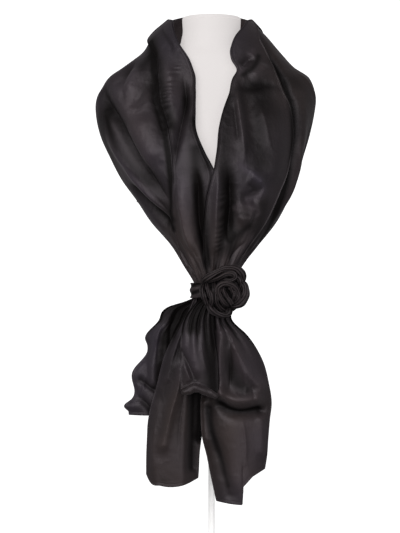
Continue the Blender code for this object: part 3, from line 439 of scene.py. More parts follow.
TAIL_CREASES_RIGHT = (
    (3.0, 5, ((0.014, 0.41), (0.0135, 0.38), (0.0135, 0.35), (0.0143, 0.305))),
    (-3.0, 5, ((0.03, 0.4), (0.034, 0.37), (0.033, 0.33), (0.03, 0.305))),
    (2.5, 6, ((0.018, 0.437), (0.032, 0.4), (0.052, 0.366), (0.088, 0.318))),
    (-3.0, 4.5, ((0.014, 0.29), (0.024, 0.28), (0.048, 0.272), (0.08, 0.276),
                 (0.087, 0.262))),
    (-1.5, 3, ((0.0552, 0.182), (0.0556, 0.13))),
    (2.0, 5, ((0.054, 0.262), (0.06, 0.22), (0.061, 0.17))),
    (-2.0, 5, ((0.07, 0.33), (0.074, 0.3), (0.076, 0.28))),
    (2.0, 6, ((0.056, 0.35), (0.06, 0.32), (0.06, 0.3))),
)

# Painted highlights and painted shade of the ends: strength (below 0 for shade), half width in
# mm, path as (x, z).
TAIL_SHADES_BACK_LEFT = (
    (-1.0, 16, ((-0.046, 0.48), (-0.066, 0.436), (-0.084, 0.385), (-0.09, 0.33))),
    (0.4, 10, ((-0.105, 0.425), (-0.118, 0.395), (-0.128, 0.35))),
)
TAIL_SHADES_LEFT = (
    (-1.0, 13, ((-0.03, 0.44), (-0.024, 0.35), (-0.02, 0.29), (-0.02, 0.23))),
    (-0.5, 12, ((-0.06, 0.4), (-0.075, 0.34))),
    (0.5, 24, ((-0.08, 0.175), (-0.062, 0.15))),
    (-0.4, 22, ((-0.075, 0.3), (-0.085, 0.24))),
    (0.25, 12, ((-0.072, 0.3), (-0.08, 0.22))),
)
TAIL_SHADES_CENTRE = (
    (-1.0, 13, ((0.004, 0.43), (-0.002, 0.38), (0.002, 0.315))),
    (0.5, 9, ((-0.046, 0.395), (-0.036, 0.37), (-0.029, 0.345))),
    (-0.8, 12, ((-0.018, 0.478), (-0.026, 0.45), (-0.032, 0.42))),
)
TAIL_SHADES_RIGHT = (
    (-0.9, 10, ((-0.004, 0.43), (-0.002, 0.37), (0.000, 0.32))),
    (-0.7, 11, ((0.025, 0.39), (0.0357, 0.337), (0.059, 0.31))),
    (0.4, 9, ((0.0105, 0.431), (0.05, 0.378), (0.086, 0.325))),
    (0.4, 6, ((0.022, 0.3), (0.05, 0.293), (0.08, 0.297))),
    (-0.8, 5, ((0.0108, 0.292), (0.03, 0.278), (0.055, 0.2725), (0.082, 0.278))),
    (1.5, 36, ((0.05, 0.235), (0.055, 0.16))),
    (-0.7, 7, ((-0.008, 0.275), (-0.002, 0.2386), (0.0143, 0.1941), (0.03, 0.14))),
)
# Painted shade: the ends are painted darker close under the strap.
STRAP_SHADE = 0.8        # the ends lie darker close under the strap
STRAP_SHADE_FADE = ((0.385, 0), (0.455, 1))

# The rolled fold that closes the centre end, as (x, z).
ROLL_PATH = ((-0.0545, 0.306), (-0.042, 0.31), (-0.029, 0.3145), (-0.013, 0.31),
             (0.000, 0.304), (0.011, 0.2985))
ROLL_Y = -0.1300
ROLL_RADIUS = 0.0075

# The strap round the gather, and the rose's oval backing.
STRAP_CENTRE = (0.004, -0.100)
STRAP_HALF = (0.0415, 0.0237)
STRAP_TOP, STRAP_BOTTOM = 0.499, 0.476
STRAP_WALL = 0.0025
BACKING_CENTRE = (0.022, 0.484)
BACKING_HALF = (0.033, 0.038)
BACKING_Y = -0.1255

# The backing's edge: share of the oval, rise.
BACKING_PROFILE = ((0, 0), (0.9, 0), (1.0, 0.0003), (1.0, 0.0009), (0.97, 0.0013),
                   (0.6, 0.0018), (0, 0.0018))

# The twelve crushed folds of the rose.
STRAND_RINGS, STRAND_SIDES = 84, 56
# Painted shade on the rose's folds: darker the further back they lie.
STRAND_GROOVE_SHADE = ((-0.147, 0), (-0.130, 0.9))     # how much darker they lie, by depth
STRANDS = (
    # name, width, depth (mm), ridges, twist, path from the rose's middle: x, z, y (mm)
    ("top_fold", 6.6, 9.0, 7, 1.4, (
        (-40, -8, -130), (-31.5, -0.5, -135), (-15, 9.5, -139), (1, 16.5, -139),
        (19, 16.5, -137), (31, 6, -135), (34, -8, -131))),
    ("inner_fold", 5.6, 8.5, 6, 1.6, (
        (-32, -9, -132), (-11, 0, -137), (3, 7.5, -138), (14.5, 7, -138), (18, 0.5, -137),
        (11, -5, -136), (0, -6, -135), (-14, -11, -131))),
    ("lobe", 7.4, 10.5, 7, 1.6, (
        (27, -6, -131), (35, -14, -136), (37, -27, -138), (33.5, -39, -138), (24, -48, -136),
        (10, -51, -131))),
    ("low_fold", 6.2, 8.5, 6, 1.8, (
        (-30, -45, -131), (-25, -55, -134), (-13, -63.5, -136), (0, -66, -136), (7, -62, -133),
        (8, -53, -130))),
    ("wrap", 5.6, 11.5, 6, 1.8, (
        (9, -50.5, -134), (-1, -43.5, -138), (-9.5, -31, -139), (-12, -19.5, -139),
        (-5, -11.5, -140), (6, -11, -140), (17, -15.5, -139), (24, -25, -138), (24, -36, -138),
        (16, -46, -135))),
    ("coil", 4.4, 12.0, 5, 1.4, (
        (-5, -17, -136), (-1.5, -25, -139), (4.5, -35, -140), (11, -43, -138),
        (15, -48, -134))),
    ("bud", 5.2, 10.0, 6, 1.6, (
        (-33, -9, -131), (-30, -20, -137), (-25, -31, -138), (-22.5, -42, -137),
        (-25, -53, -131))),
    ("cross_fold", 4.6, 11.0, 5, 1.2, (
        (7, -15, -134), (13, -22, -138), (17.5, -31, -138), (15.5, -42, -134))),
    ("left_fold", 5.4, 8.5, 6, 1.5, (
        (-38, -9, -129), (-40.5, -20, -134), (-37.5, -32, -135), (-32, -43, -134),
        (-27, -52, -130))),
    ("mid_fold", 5.6, 8.5, 6, 1.3, (
        (-20, -6, -129), (-18, -18, -134), (-17, -31, -135), (-14, -44, -134), (-6, -54, -131),
        (4, -60, -128))),
    ("right_fold", 5.6, 8.0, 6, 1.3, (
        (12, 5, -130), (24, 0, -134), (29.5, -11, -134), (29, -24, -131))),
    ("under_fold", 7.0, 6.0, 7, 1.0, (
        (-24, -1, -127), (-6, 1, -129), (10, -4, -129), (24, -18, -128))),
)
ROSE_MIDDLE = (0.0225, 0.5100)

# The camera: its distance, and the scale of the picture at the form's middle.
CAMERA_AWAY = 3.0
SENSOR_HEIGHT = 24
PICTURE_ROWS = 533
METRES_A_PIXEL = 0.00185


def smooth(rows, at):
    """Read the columns of a table at any keys, on a smooth curve through its rows."""
    rows = np.array(rows, float)
    key, value = rows[:, 0], rows[:, 1:]
    at = np.clip(np.atleast_1d(np.asarray(at, float)), key[0], key[-1])
    slope = np.gradient(value, key, axis=0)
    i = np.clip(np.searchsorted(key, at, side="right") - 1, 0, len(key) - 2)
    span = (key[i + 1] - key[i])[:, None]
    t = (at - key[i])[:, None] / span
    return (value[i] * (1 + 2 * t) * (1 - t) ** 2 + slope[i] * span * t * (1 - t) ** 2
            + value[i + 1] * t * t * (3 - 2 * t) + slope[i + 1] * span * t * t * (t - 1))


def linear(rows, at):
    """Read a table of pairs at any keys, on straight lines between its rows."""
    return np.interp(at, *np.array(rows).T)


def numbered(points):
    """The points of a path, each with its number in front."""
    return np.column_stack([np.arange(len(points)), points])


def curve(points, count):
    """Points of a smooth curve through a path."""
    return smooth(numbered(points), np.linspace(0, len(points) - 1, count))


def full_turn(sides):
    """Angles all the way round."""
    return np.linspace(0, 2 * math.pi, sides, endpoint=False)


def points_of(*columns):
    """Points from their coordinates, one list for each axis."""
    return np.stack(columns, 1)


def ring_point(level, turn):
    """A point of the drape, from its level and its turn in degrees."""
    rings = smooth(numbered(DRAPE_RINGS), level)
    z_front, z_side, z_back, left, right, y_front, y_side, y_back = rings.T
    across, ahead = np.sin(np.radians(turn)), np.cos(np.radians(turn))
    x = across * np.where(across < 0, left, right)
    y = y_side + np.where(ahead > 0, (y_front - y_side) * ahead, (y_side - y_back) * ahead)
    z = z_side + np.where(ahead > 0, z_front - z_side, z_back - z_side) * ahead ** 2
    return points_of(x, y, z)


def ring_normal(level, turn):
    """The way out of the drape at a point."""
    d = 0.01
    down = ring_point(level + d, turn) - ring_point(level - d, turn)
    around = ring_point(level, turn + 30 * d) - ring_point(level, turn - 30 * d)
    out = np.cross(down, around)
    return out / np.maximum(np.linalg.norm(out, axis=1), 1e-12)[:, None]


def path_reach(points, path, reach):
    """Distance of each point from a path, and the share of the path where it is nearest."""
    best = np.full(len(points), 1e9)
    share = np.zeros(len(points))
    low, high = path.min(0) - reach, path.max(0) + reach
    near = np.flatnonzero(((points > low) & (points < high)).all(1))
    some = points[near]
    for k, (a, b) in enumerate(zip(path[:-1], path[1:])):
        run = b - a
        t = np.clip((some - a) @ run / max(run @ run, 1e-12), 0, 1)
        distance = np.linalg.norm(some - a - t[:, None] * run, axis=1)
        closer = distance < best[near]
        best[near[closer]] = distance[closer]
        share[near[closer]] = (k + t[closer]) / (len(path) - 1)
    return best, share


def fold_heights(points, folds, place, sharp=False, taper=0.0):
    """The height and the painted light of all the folds at each point.

    Sharp ones come to a crest. With taper they run out at their ends. The painted light is
    from -1, painted shade in the troughs, to 1, painted highlight on the ridges.
    """
    total, tone = np.zeros(len(points)), np.zeros(len(points))
    for height, half_width, path in folds:
        fine = curve(path, 6 * len(path))
        distance, share = path_reach(points, place(*fine.T), half_width * FOLD_REACH)
        away = 1000 * distance / half_width
        rise = np.exp((0.25 - np.hypot(away, 0.25)) / 0.5) if sharp else np.exp(-away ** 2)
        if taper:
            end = np.clip(np.minimum(share, 1 - share) / taper, 0, 1)
            rise *= end * end * (3 - 2 * end)
        total += height / 1000 * rise
        if half_width < NARROW_FOLD:
            tone += FOLD_PAINTED_LIGHT * np.clip(height / FULL_FOLD, -1, 1) * rise
    return total, tone


def tone_of(points, shades, place):
    """Broad stretches of painted highlight and painted shade: strength, half width in mm and
    path of each.
    """
    tone = np.zeros(len(points))
    for strength, half_width, path in shades:
        tone += strength * 1000 * fold_heights(points, ((1, half_width, path),), place)[0]
    return tone


def waves(at, drift, table):
    """Uneven waves: each row's depth in mm, its count or pitch, and how far it drifts."""
    total = 0
    for k, (depth, pitch, amount) in enumerate(table):
        total = total + depth / 1000 * np.cos(2 * math.pi * at * pitch
                                              + amount * np.sin(1.7 * drift + 2 * k))
    return total


class Flow:
    """A value on its way through a material's nodes, for plain arithmetic."""

    def __init__(self, tree, socket):
        self.tree, self.socket = tree, socket

    def node(self, kind, inputs=None, out=0, **settings):
        """Any other node: its inputs by name or number, and one of its outputs."""
        made = self.tree.nodes.new(kind)
        for key, value in settings.items():
            setattr(made, key, value)
        for key, value in (inputs or {}).items():
            if isinstance(value, Flow):
                self.tree.links.new(value.socket, made.inputs[key])
            else:
                made.inputs[key].default_value = value
        return Flow(self.tree, made.outputs[out])

    def math(self, operation, other=0.0, first=None):
        return self.node("ShaderNodeMath", {0: self if first is None else first, 1: other},
                         operation=operation)

    def __add__(self, other):
        return self.math("ADD", other)

    def __sub__(self, other):
        return self.math("SUBTRACT", other)

    def __mul__(self, other):
        return self.math("MULTIPLY", other)

    def __truediv__(self, other):
        return self.math("DIVIDE", other)

    def __rsub__(self, other):
        return self.math("SUBTRACT", self, other)

    def __rtruediv__(self, other):
        return self.math("DIVIDE", self, other)

    __radd__, __rmul__ = __add__, __mul__

    def scaled(self, x, y, z):
        return self.node("ShaderNodeVectorMath", {0: self, 1: (x, y, z)}, operation="MULTIPLY")

    def noise(self, scale, detail=2.0, roughness=0.5):
        return self.node("ShaderNodeTexNoise", {"Vector": self, "Scale": scale, "Detail": detail,
                                                "Roughness": roughness})

    def bump(self):
        """The normal of this height in metres."""
        return self.node("ShaderNodeBump", {"Strength": 1.0, "Distance": 1.0, "Height": self})

    def mix(self, low, high):
        """A colour between two, by this share."""
        ends = [end if isinstance(end, Flow) else (*end, 1) for end in (low, high)]
        return self.node("ShaderNodeMix", {0: self, 6: ends[0], 7: ends[1]}, out=2,
                         data_type="RGBA", clamp_factor=True)


def material(name, **constants):
    """A new material; gives it, its start and its shader's inputs."""
    made = bpy.data.materials.new(name)
    made.use_nodes = True
    tree = made.node_tree
    inputs = tree.nodes["Principled BSDF"].inputs
    for key, value in constants.items():
        inputs[key.replace("_", " ")].default_value = value
    return made, Flow(tree, None), inputs


def connect(flow, socket):
    """Link a value to an input."""
    flow.tree.links.new(flow.socket, socket)


def blend_surface(made, share, other):
    """Blend another shader over a material's own, by this share."""
    nodes = made.node_tree.nodes
    mixed = other.node("ShaderNodeMixShader", {0: share, 2: other}, out=0)
    own = Flow(made.node_tree, nodes["Principled BSDF"].outputs[0])
    connect(own, mixed.socket.node.inputs[1])
    connect(mixed, nodes["Material Output"].inputs["Surface"])


def silk_satin():
    """Black silk satin: faint slubs and weave, soft crumples and a stitched edge.

    It is painted: painted shade darkens its troughs, where a darker, duller copy of the silk is
    blended in, and painted highlights lighten its ridges.
    """
    made, start, inputs = material("silk_satin", Sheen_Weight=0.08, Sheen_Roughness=0.5,
                                   Anisotropic=0.3, Specular_IOR_Level=0.40)
    inputs["Specular Tint"].default_value = (1.0, 0.91, 0.97, 1)
    inputs["Sheen Tint"].default_value = (1.0, 0.88, 0.95, 1)
    place = start.node("ShaderNodeTexCoord", out="Object")
    cloth = start.node("ShaderNodeUVMap", uv_map="cloth")
    edge = start.node("ShaderNodeAttribute", out="Fac", attribute_name="edge")
    tone = start.node("ShaderNodeAttribute", out="Fac", attribute_name="tone")
    slub = cloth.scaled(35, 900, 1).noise(1.0, 3.0)
    weave = cloth.scaled(2200, 2200, 1).noise(1.0, 1.0)
    crumple = (place.noise(26, 2.0) - 0.5).math("ABSOLUTE")
    fine = (place.scaled(1, 1, 0.5).noise(70, 2.0) - 0.5).math("ABSOLUTE")
    uneven = place.noise(7, 1.0)
    stitch = 1.0 / (((edge - STITCH_IN) / STITCH_WIDTH).math("POWER", 2.0) + 1.0)
    height = (crumple * -0.0062 * uneven + fine * -0.0019 * uneven + slub * 0.00010
              + weave * 0.00004 - stitch * 0.00025)
    normal = height.bump()
    connect(normal, inputs["Normal"])
    # Share of the base colour: the cloth's own uneven colour from noise and slubs, plus painted
    # highlight on ridges and painted shade in troughs.
    share = place.noise(9, 2.0) * 0.50 + slub * 0.28 + tone * 0.50
    hue = (place.noise(5, 1.0) * 3.0 - 1.0).mix((0.0380, 0.0265, 0.0240),
                                                (0.0350, 0.0290, 0.0425))
    connect(share.mix((0.0060, 0.0045, 0.0044), hue), inputs["Base Color"])
    connect(0.42 + slub * 0.08 + uneven * 0.08, inputs["Roughness"])
    # A darker, duller copy of the silk, blended in as painted shade where the painted light is
    # below zero.
    deep = start.node("ShaderNodeBsdfPrincipled", {
        "Base Color": (0.0035, 0.0026, 0.0026, 1), "Roughness": 0.6, "Specular IOR Level": 0.08,
        "Normal": normal}, out="BSDF")
    shade = start.node("ShaderNodeClamp", {"Value": tone * -0.95, "Max": 0.9})
    blend_surface(made, shade, deep)
    return made


def form_skin():
    """The form's smooth off-white skin; it also glows, painted light that keeps it bright where
    the cloth shades it.
    """
    made, start, inputs = material("form_skin", Specular_IOR_Level=0.30, Emission_Strength=0.50)
    inputs["Emission Color"].default_value = (1.0, 0.955, 0.945, 1)
    place = start.node("ShaderNodeTexCoord", out="Object")
    mottle = place.noise(14, 3.0)
    grain = place.noise(900, 2.0)
    connect((grain * 0.00006 + mottle * 0.0003).bump(), inputs["Normal"])
    connect(mottle.mix((0.29, 0.272, 0.268), (0.32, 0.304, 0.30)), inputs["Base Color"])
    connect(0.48 + grain * 0.1, inputs["Roughness"])
    return made


def stand_paint():
    """Off-white satin paint on the pole and base, which also glows a little: painted light that
    keeps them pale against the backdrop.
    """
    made, start, inputs = material("stand_paint", Emission_Strength=0.3)
    inputs["Emission Color"].default_value = (1, 1, 1, 1)
    place = start.node("ShaderNodeTexCoord", out="Object")
    grain = place.noise(300, 2.0)
    connect((grain * 0.00008).bump(), inputs["Normal"])
    connect(grain.mix((0.84, 0.83, 0.82), (0.88, 0.87, 0.86)), inputs["Base Color"])
    connect(0.30 + grain * 0.08, inputs["Roughness"])
    return made


SILK = silk_satin()
GLOWING_SKIN = form_skin()
GLOWING_PAINT = stand_paint()


def put(name, mesh, finish, nodes=()):
    """A finished piece that rides on the root and stands for these nodes."""
    thing = bpy.data.objects.new(name, mesh)
    bpy.context.scene.collection.objects.link(thing)
    mesh.materials.clear()
    mesh.materials.append(finish)
    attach(thing, "root")
    if nodes:
        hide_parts(*nodes)
    return thing


def size_uv(mesh, width, length):
    """Make the cloth's UV map run in metres."""
    uv = np.empty(2 * len(mesh.loops), np.float32)
    mesh.uv_layers["cloth"].data.foreach_get("uv", uv)
    uv *= np.tile((width, length), len(mesh.loops)).astype(np.float32)
    mesh.uv_layers["cloth"].data.foreach_set("uv", uv)


def lathe(name, rings, finish, node, tone=0.0):
    """A closed skin through many rings of points; the first and last close to one point.

    The painted light, below 0 painted shade and above 0 painted highlight, is one value, or one
    for each point.
    """
    rings = np.array(rings)
    tones = np.broadcast_to(tone, rings.shape[:2])
    bm = bmesh.new()
    bm.loops.layers.uv.new("cloth")
    kept = bm.verts.layers.float.new("tone")
    bmesh.ops.create_grid(bm, x_segments=rings.shape[1], y_segments=len(rings) - 1, size=0.5,
                          calc_uvs=True)
    for vert in bm.verts:
        i = round((vert.co.x + 0.5) * rings.shape[1]) % rings.shape[1]
        j = round((vert.co.y + 0.5) * (len(rings) - 1))
        vert.co = rings[j, i]
        vert[kept] = tones[j, i]
    bmesh.ops.remove_doubles(bm, verts=bm.verts, dist=1e-6)
    bmesh.ops.recalc_face_normals(bm, faces=bm.faces)
    mesh = bpy.data.meshes.new(name)
    bm.to_mesh(mesh)
    bm.free()
    around = np.linalg.norm(np.diff(rings, axis=1), axis=2).sum(1).mean()
    along = np.linalg.norm(np.diff(rings, axis=0), axis=2).sum(0).mean()
    size_uv(mesh, around, along)
    mesh.shade_smooth()
    mesh.set_sharp_from_angle(angle=math.radians(50))
    return put(name, mesh, finish, (node,) if node else ())


def form_ring(z, share=1.0, rise=0.0):
    """The form's outline at a height, drawn in to a share of it and raised."""
    half, front, back = smooth(FORM_RINGS[::-1], z)[0]
    turn = full_turn(FORM_SIDES)
    ahead = np.cos(turn)
    y = np.where(ahead > 0, front * ahead, -back * ahead)
    return points_of(half * np.sin(turn) * share, y * share, np.full(FORM_SIDES, z + rise))


def round_rings(profile, sides):
    """Level circles on the pole's line, from their radius and height."""
    turn = full_turn(sides)
    return [points_of(r * np.cos(turn), r * np.sin(turn), np.full(sides, z))
            for r, z in profile]


def make_form():
    """The bust, its cap, the pole and the base."""
    top, foot = FORM_RINGS[0][0], FORM_RINGS[-1][0]
    heights = np.concatenate([np.linspace(top, 0.86, 50), np.linspace(0.855, foot, 60)])
    rings = [form_ring(top, 0.0)] + [form_ring(z) for z in heights] + [form_ring(foot, 0.0)]
    bust = lathe("bust_skin", rings, GLOWING_SKIN, "form_bust")
    lathe("neck_cap", [form_ring(top, share, rise) for share, rise in CAP_PROFILE], GLOWING_SKIN,
          "form_cap")
    high, low = foot - FORM_GAP, BASE_HEIGHT + FORM_GAP
    pole = ((0, high), (POLE_RADIUS, high), (POLE_RADIUS, low), (0, low))
    lathe("stand_pole", round_rings(pole, 40), GLOWING_PAINT, "form_pole")
    lathe("stand_base", round_rings(BASE_PROFILE, 120), GLOWING_PAINT, "form_base")
    return BVHTree.FromPolygons([v.co for v in bust.data.vertices],
                                [p.vertices for p in bust.data.polygons])


def clear_of(tree, points, gap):
    """Push points out until they stand gap clear of the form."""
    for k, point in enumerate(points):
        place, normal, _, _ = tree.find_nearest(Vector(point))
        away = Vector(point) - place
        inside = away.dot(normal) < 0 and normal.z < 0.9      # not over the neck's flat top
        if inside or away.length < gap:
            way_out = normal if inside else away.normalized()
            points[k] = place + way_out * gap
    return points


def spaced(count, first, last):
    """Shares of a row: closer at an edge that is rounded."""
    at = np.arange(count + 1, dtype=float)
    if first:
        at[:4] = ROUNDED_STEPS
        at[3:] = np.linspace(at[3], count, count - 2)
    if last:
        flipped = count - at[::-1]
        flipped[:4] = ROUNDED_STEPS
        flipped[3:] = np.linspace(flipped[3], flipped[-1], count - 2)
        at = count - flipped[::-1]
    return at / count


def cloth(name, columns, rows, place, soft, radius=EDGE_RADIUS, wall=WALL, flip=False,
          nodes=()):
    """A stretch of silk: place gives its outer face from shares across and down.

    soft names the edges that are rolled: l and r across, t and b down. The distance from
    the nearest of them is kept on each point as "edge", and place's painted shade and highlight
    as a second attribute.
    """
    bm = bmesh.new()
    bm.loops.layers.uv.new("cloth")
    bmesh.ops.create_grid(bm, x_segments=columns, y_segments=rows, size=0.5, calc_uvs=True)
    share = np.array([vert.co for vert in bm.verts])[:, :2] + 0.5
    i = np.rint(share[:, 0] * columns).astype(int)
    j = np.rint(share[:, 1] * rows).astype(int)
    i = columns - i if flip else i
    across = spaced(columns, "l" in soft, "r" in soft)
    down = spaced(rows, "t" in soft, "b" in soft)
    grid = np.empty((rows + 1, columns + 1, 3))
    grid[j, i], tone = place(across[i], down[j])
    side, fall = np.gradient(grid, axis=1), np.gradient(grid, axis=0)
    out = np.cross(side, fall) if flip else np.cross(fall, side)
    out /= np.maximum(np.linalg.norm(out, axis=2), 1e-12)[..., None]
    steps = np.linalg.norm(np.diff(grid, axis=1), axis=2)
    left = np.concatenate([np.zeros((rows + 1, 1)), steps.cumsum(1)], 1)
    steps = np.linalg.norm(np.diff(grid, axis=0), axis=2)
    top = np.concatenate([np.zeros((1, columns + 1)), steps.cumsum(0)], 0)
    edge = np.full(left.shape, NO_EDGE)
    for letter, distance in (("l", left), ("r", left[:, -1:] - left), ("t", top),
                             ("b", top[-1:] - top)):
        if letter in soft:
            edge = np.minimum(edge, distance)
    inside = np.clip(radius - edge, 0, radius)
    grid = grid - out * (radius - np.sqrt(radius ** 2 - inside ** 2))[..., None]
    for vert, point in zip(bm.verts, grid[j, i]):
        vert.co = point
    mesh = bpy.data.meshes.new(name)
    bm.to_mesh(mesh)
    bm.free()
    size_uv(mesh, left[:, -1].mean(), top[-1].mean())
    for label, values in (("edge", edge[j, i]), ("tone", tone)):
        kept = mesh.attributes.new(label, "FLOAT", "POINT")
        kept.data.foreach_set("value", np.asarray(values, np.float32))
    thing = put(name, mesh, SILK, nodes)
    solidify = thing.modifiers.new("wall", "SOLIDIFY")
    solidify.thickness = wall
    solidify.offset = -1
    graph = bpy.context.evaluated_depsgraph_get()
    thick = bpy.data.meshes.new_from_object(thing.evaluated_get(graph))
    thing.modifiers.clear()
    thing.data = thick
    thick.shade_smooth()
    thick.set_sharp_from_angle(angle=math.radians(60))


def draped(tree, level, turn, folds, creases, lift=FLAT, extra=0.0):
    """Points of the outer face on the drape, folded and clear of the form, and their painted
    shade and highlight.
    """
    points = ring_point(level, turn)
    height, tone = fold_heights(points, folds, ring_point, taper=FOLD_TAPER)
    more, finer = fold_heights(points, creases, ring_point, sharp=True, taper=FOLD_TAPER)
    back, _ = fold_heights(points, BACK_FOLDS, ring_point, taper=BACK_TAPER)
    seats, _ = fold_heights(points, SHOULDER_SEATS, ring_point)
    # Painted light: painted shade and highlight from the narrow folds and creases, the broad
    # painted stretches and the gathers.
    tone = tone + finer + tone_of(points, BODY_SHADES, ring_point) + GATHER_PAINTED_LIGHT * extra
    lift = linear(lift, level)
    out = height + more + back + seats + extra + lift
    points = points + ring_normal(level, turn) * out[:, None]
    return clear_of(tree, points, WALL + CLEAR + np.max(lift)), tone


def row_level(v, rows):
    """The level at a share of the drop, for cloth that ends at one of the rows."""
    return linear(LEVEL_OF_ROW, v * rows)


def gathers(level, turn):
    """The gathers into the strap, coarse and fine, and the crinkled strips of the collars."""
    crinkle = 0
    for middle, half_width, first, last in CRINKLES:
        reach = np.exp(-((turn - middle) / half_width) ** 2)
        ends = np.clip(np.minimum(level - first, last - level) / 0.6, 0, 1)
        phase = 2 * math.pi * (3.2 * level + 0.6 * np.sin(2.7 * level) + 0.05 * turn)
        crinkle = crinkle + CRINKLE_DEPTH * reach * ends * np.cos(phase)
    coarse = GATHER_DEPTH * linear(GATHER_FADE, level)
    fine = linear(FINE_GATHER_FADE, level)
    pitches = [(depth, 1 / degrees, drift) for depth, degrees, drift in FINE_GATHERS]
    return (crinkle + coarse * np.cos(2 * math.pi * turn / GATHER_TURN)
            + fine * waves(turn, level, pitches))


def make_body(tree):
    """Back, fronts and turned collars."""
    seam = math.degrees(SEAM / 2 / SHOULDER_RADIUS)
    all_folds = LEFT_FOLDS + RIGHT_FOLDS
    all_creases = LEFT_CREASES + RIGHT_CREASES + BACK_CREASES

    def back(u, v):
        turn = 90 + seam + u * (180 - 2 * seam)
        level = row_level(v, 15) * smooth(BACK_EDGE, turn)[:, 0] / 10
        level = level + RIM_DROP * (1 - v) ** 8 * np.sin(np.radians(turn - 90)) ** 2
        return draped(tree, level, turn, all_folds + RIGHT_UNDER_FOLDS,
                      all_creases + RIGHT_OUTER_CREASES)

    def collar_back(u, v):
        turn = 90 + seam + u * (180 - 2 * seam)
        level = v * smooth(COLLAR_EDGE_BACK, turn)[:, 0]
        level = level + RIM_DROP * (1 - v) ** 2 * np.sin(np.radians(turn - 90)) ** 2
        return draped(tree, level, turn, all_folds, all_creases, COLLAR_LIFT)

    def front(side, bands, folds, creases, lift, first, last):
        # bands: columns, the line that they start from, degrees past it
        columns = np.cumsum([0] + [count for count, _, _ in bands])

        def place(u, v):
            column = first + u * (last - first)
            level = row_level(v, 25)
            limit = np.maximum(smooth(OUTER_EDGE, level)[:, 0], 90) - seam
            turns = [side * smooth(line, level)[:, 0] + margin for _, line, margin in bands]
            turns = np.array(turns + [limit])
            for n in range(1, len(bands)):
                turns[n] = np.maximum(turns[n], turns[n - 1] + LEAST_COLUMN * bands[n - 1][0])
            for n in reversed(range(len(bands))):
                turns[n] = np.minimum(turns[n], turns[n + 1] - LEAST_COLUMN * bands[n][0])
            turns *= side
            k = np.clip(np.searchsorted(columns, column, side="right") - 1, 0, len(bands) - 1)
            t = (column - columns[k]) / (columns[k + 1] - columns[k])
            n = np.arange(len(column))
            turn = turns[k, n] * (1 - t) + turns[k + 1, n] * t
            return draped(tree, level, turn, folds, creases, lift, gathers(level, turn))
        return place

    left = ((2, UNDER_LEFT, 0), (8, NECK_LEFT, 0), (4, COLLAR_EDGE_LEFT, 0),
            (2, CREASE_LEFT, -5), (2, CREASE_LEFT, 0), (4, CREASE_LEFT, 5))
    right = ((10, NECK_RIGHT, 0), (2, COLLAR_EDGE_RIGHT, 0), (5, COLLAR_EDGE_RIGHT, 5))
    cloth("back_fall", 130, 110, back, "tb", flip=True, nodes=("stole_back",))
    cloth("collar_behind", 130, 16, collar_back, "tb", BACK_COLLAR_RADIUS, flip=True,
          nodes=("collar_back",))
    creases = LEFT_CREASES + BACK_CREASES
    under = front(-1, left, LEFT_FOLDS, creases, FLAT, 0, 22)
    turned = front(-1, left, LEFT_FOLDS, creases, COLLAR_LIFT, 2, 10)
    cloth("left_front", 160, 250, under, "lt", nodes=("stole_front_left",))
    cloth("left_collar", 80, 250, turned, "lrt", COLLAR_RADIUS, nodes=("collar_left",))
    creases = RIGHT_CREASES + RIGHT_OUTER_CREASES + BACK_CREASES
    under = front(1, right, RIGHT_FOLDS + RIGHT_UNDER_FOLDS, creases, FLAT, 0, 17)
    turned = front(1, right, RIGHT_FOLDS, RIGHT_CREASES + BACK_CREASES, COLLAR_LIFT, 0, 10)
    cloth("right_front", 140, 250, under, "lt", flip=True, nodes=("stole_front_right",))
    cloth("right_collar", 100, 250, turned, "lrt", COLLAR_RADIUS, flip=True,
          nodes=("collar_right",))


def tail(name, node, columns, rows, sections, hem, folds, creases, shades, pleats,
         spread=EVEN_COLUMNS, rounded=True):
    """A hanging end: sections give its sides and depth, folds its ridges and troughs."""
    def place(u, v):
        share = linear(spread, u)
        line = hem[0][1] + (hem[-1][1] - hem[0][1]) * share
        z = TAIL_TOP + (line - TAIL_TOP) * v
        edge = smooth(hem, share)[:, 0] if rounded else linear(hem, share)
        z = z + (edge - line) * v ** HEM_REACH
        left, right, y, set_back = smooth(sections[::-1], z).T
        x = left + (right - left) * share
        flat = points_of(x, z)
        y = y + set_back * (2 * share - 1) ** 2
        height, tone = fold_heights(flat, folds, points_of)
        more, finer = fold_heights(flat, creases, points_of, sharp=True, taper=FOLD_TAPER)
        # Painted light: painted shade and highlight from the creases and the end's painted
        # stretches, on top of the folds'.
        tone = tone + finer + tone_of(flat, shades, points_of)
        y = y - height - more
        ridges = np.cos(2 * math.pi * pleats * u)
        pleat = TAIL_PLEAT_DEPTH * linear(TAIL_PLEAT_FADE, z) * ridges
        pleat += linear(TAIL_GATHER_FADE, z) * waves(share, 12 * z, TAIL_GATHERS)
        # Painted shade under the strap; the pleats get painted highlight where they stand out
        # and painted shade where they sink.
        deep = STRAP_SHADE * linear(STRAP_SHADE_FADE, z) * (0.3 + ridges ** 2)
        return points_of(x, y + pleat, z), tone - GATHER_PAINTED_LIGHT * pleat - deep
    cloth(name, columns, rows, place, "lrb", flip=True, nodes=(node,))


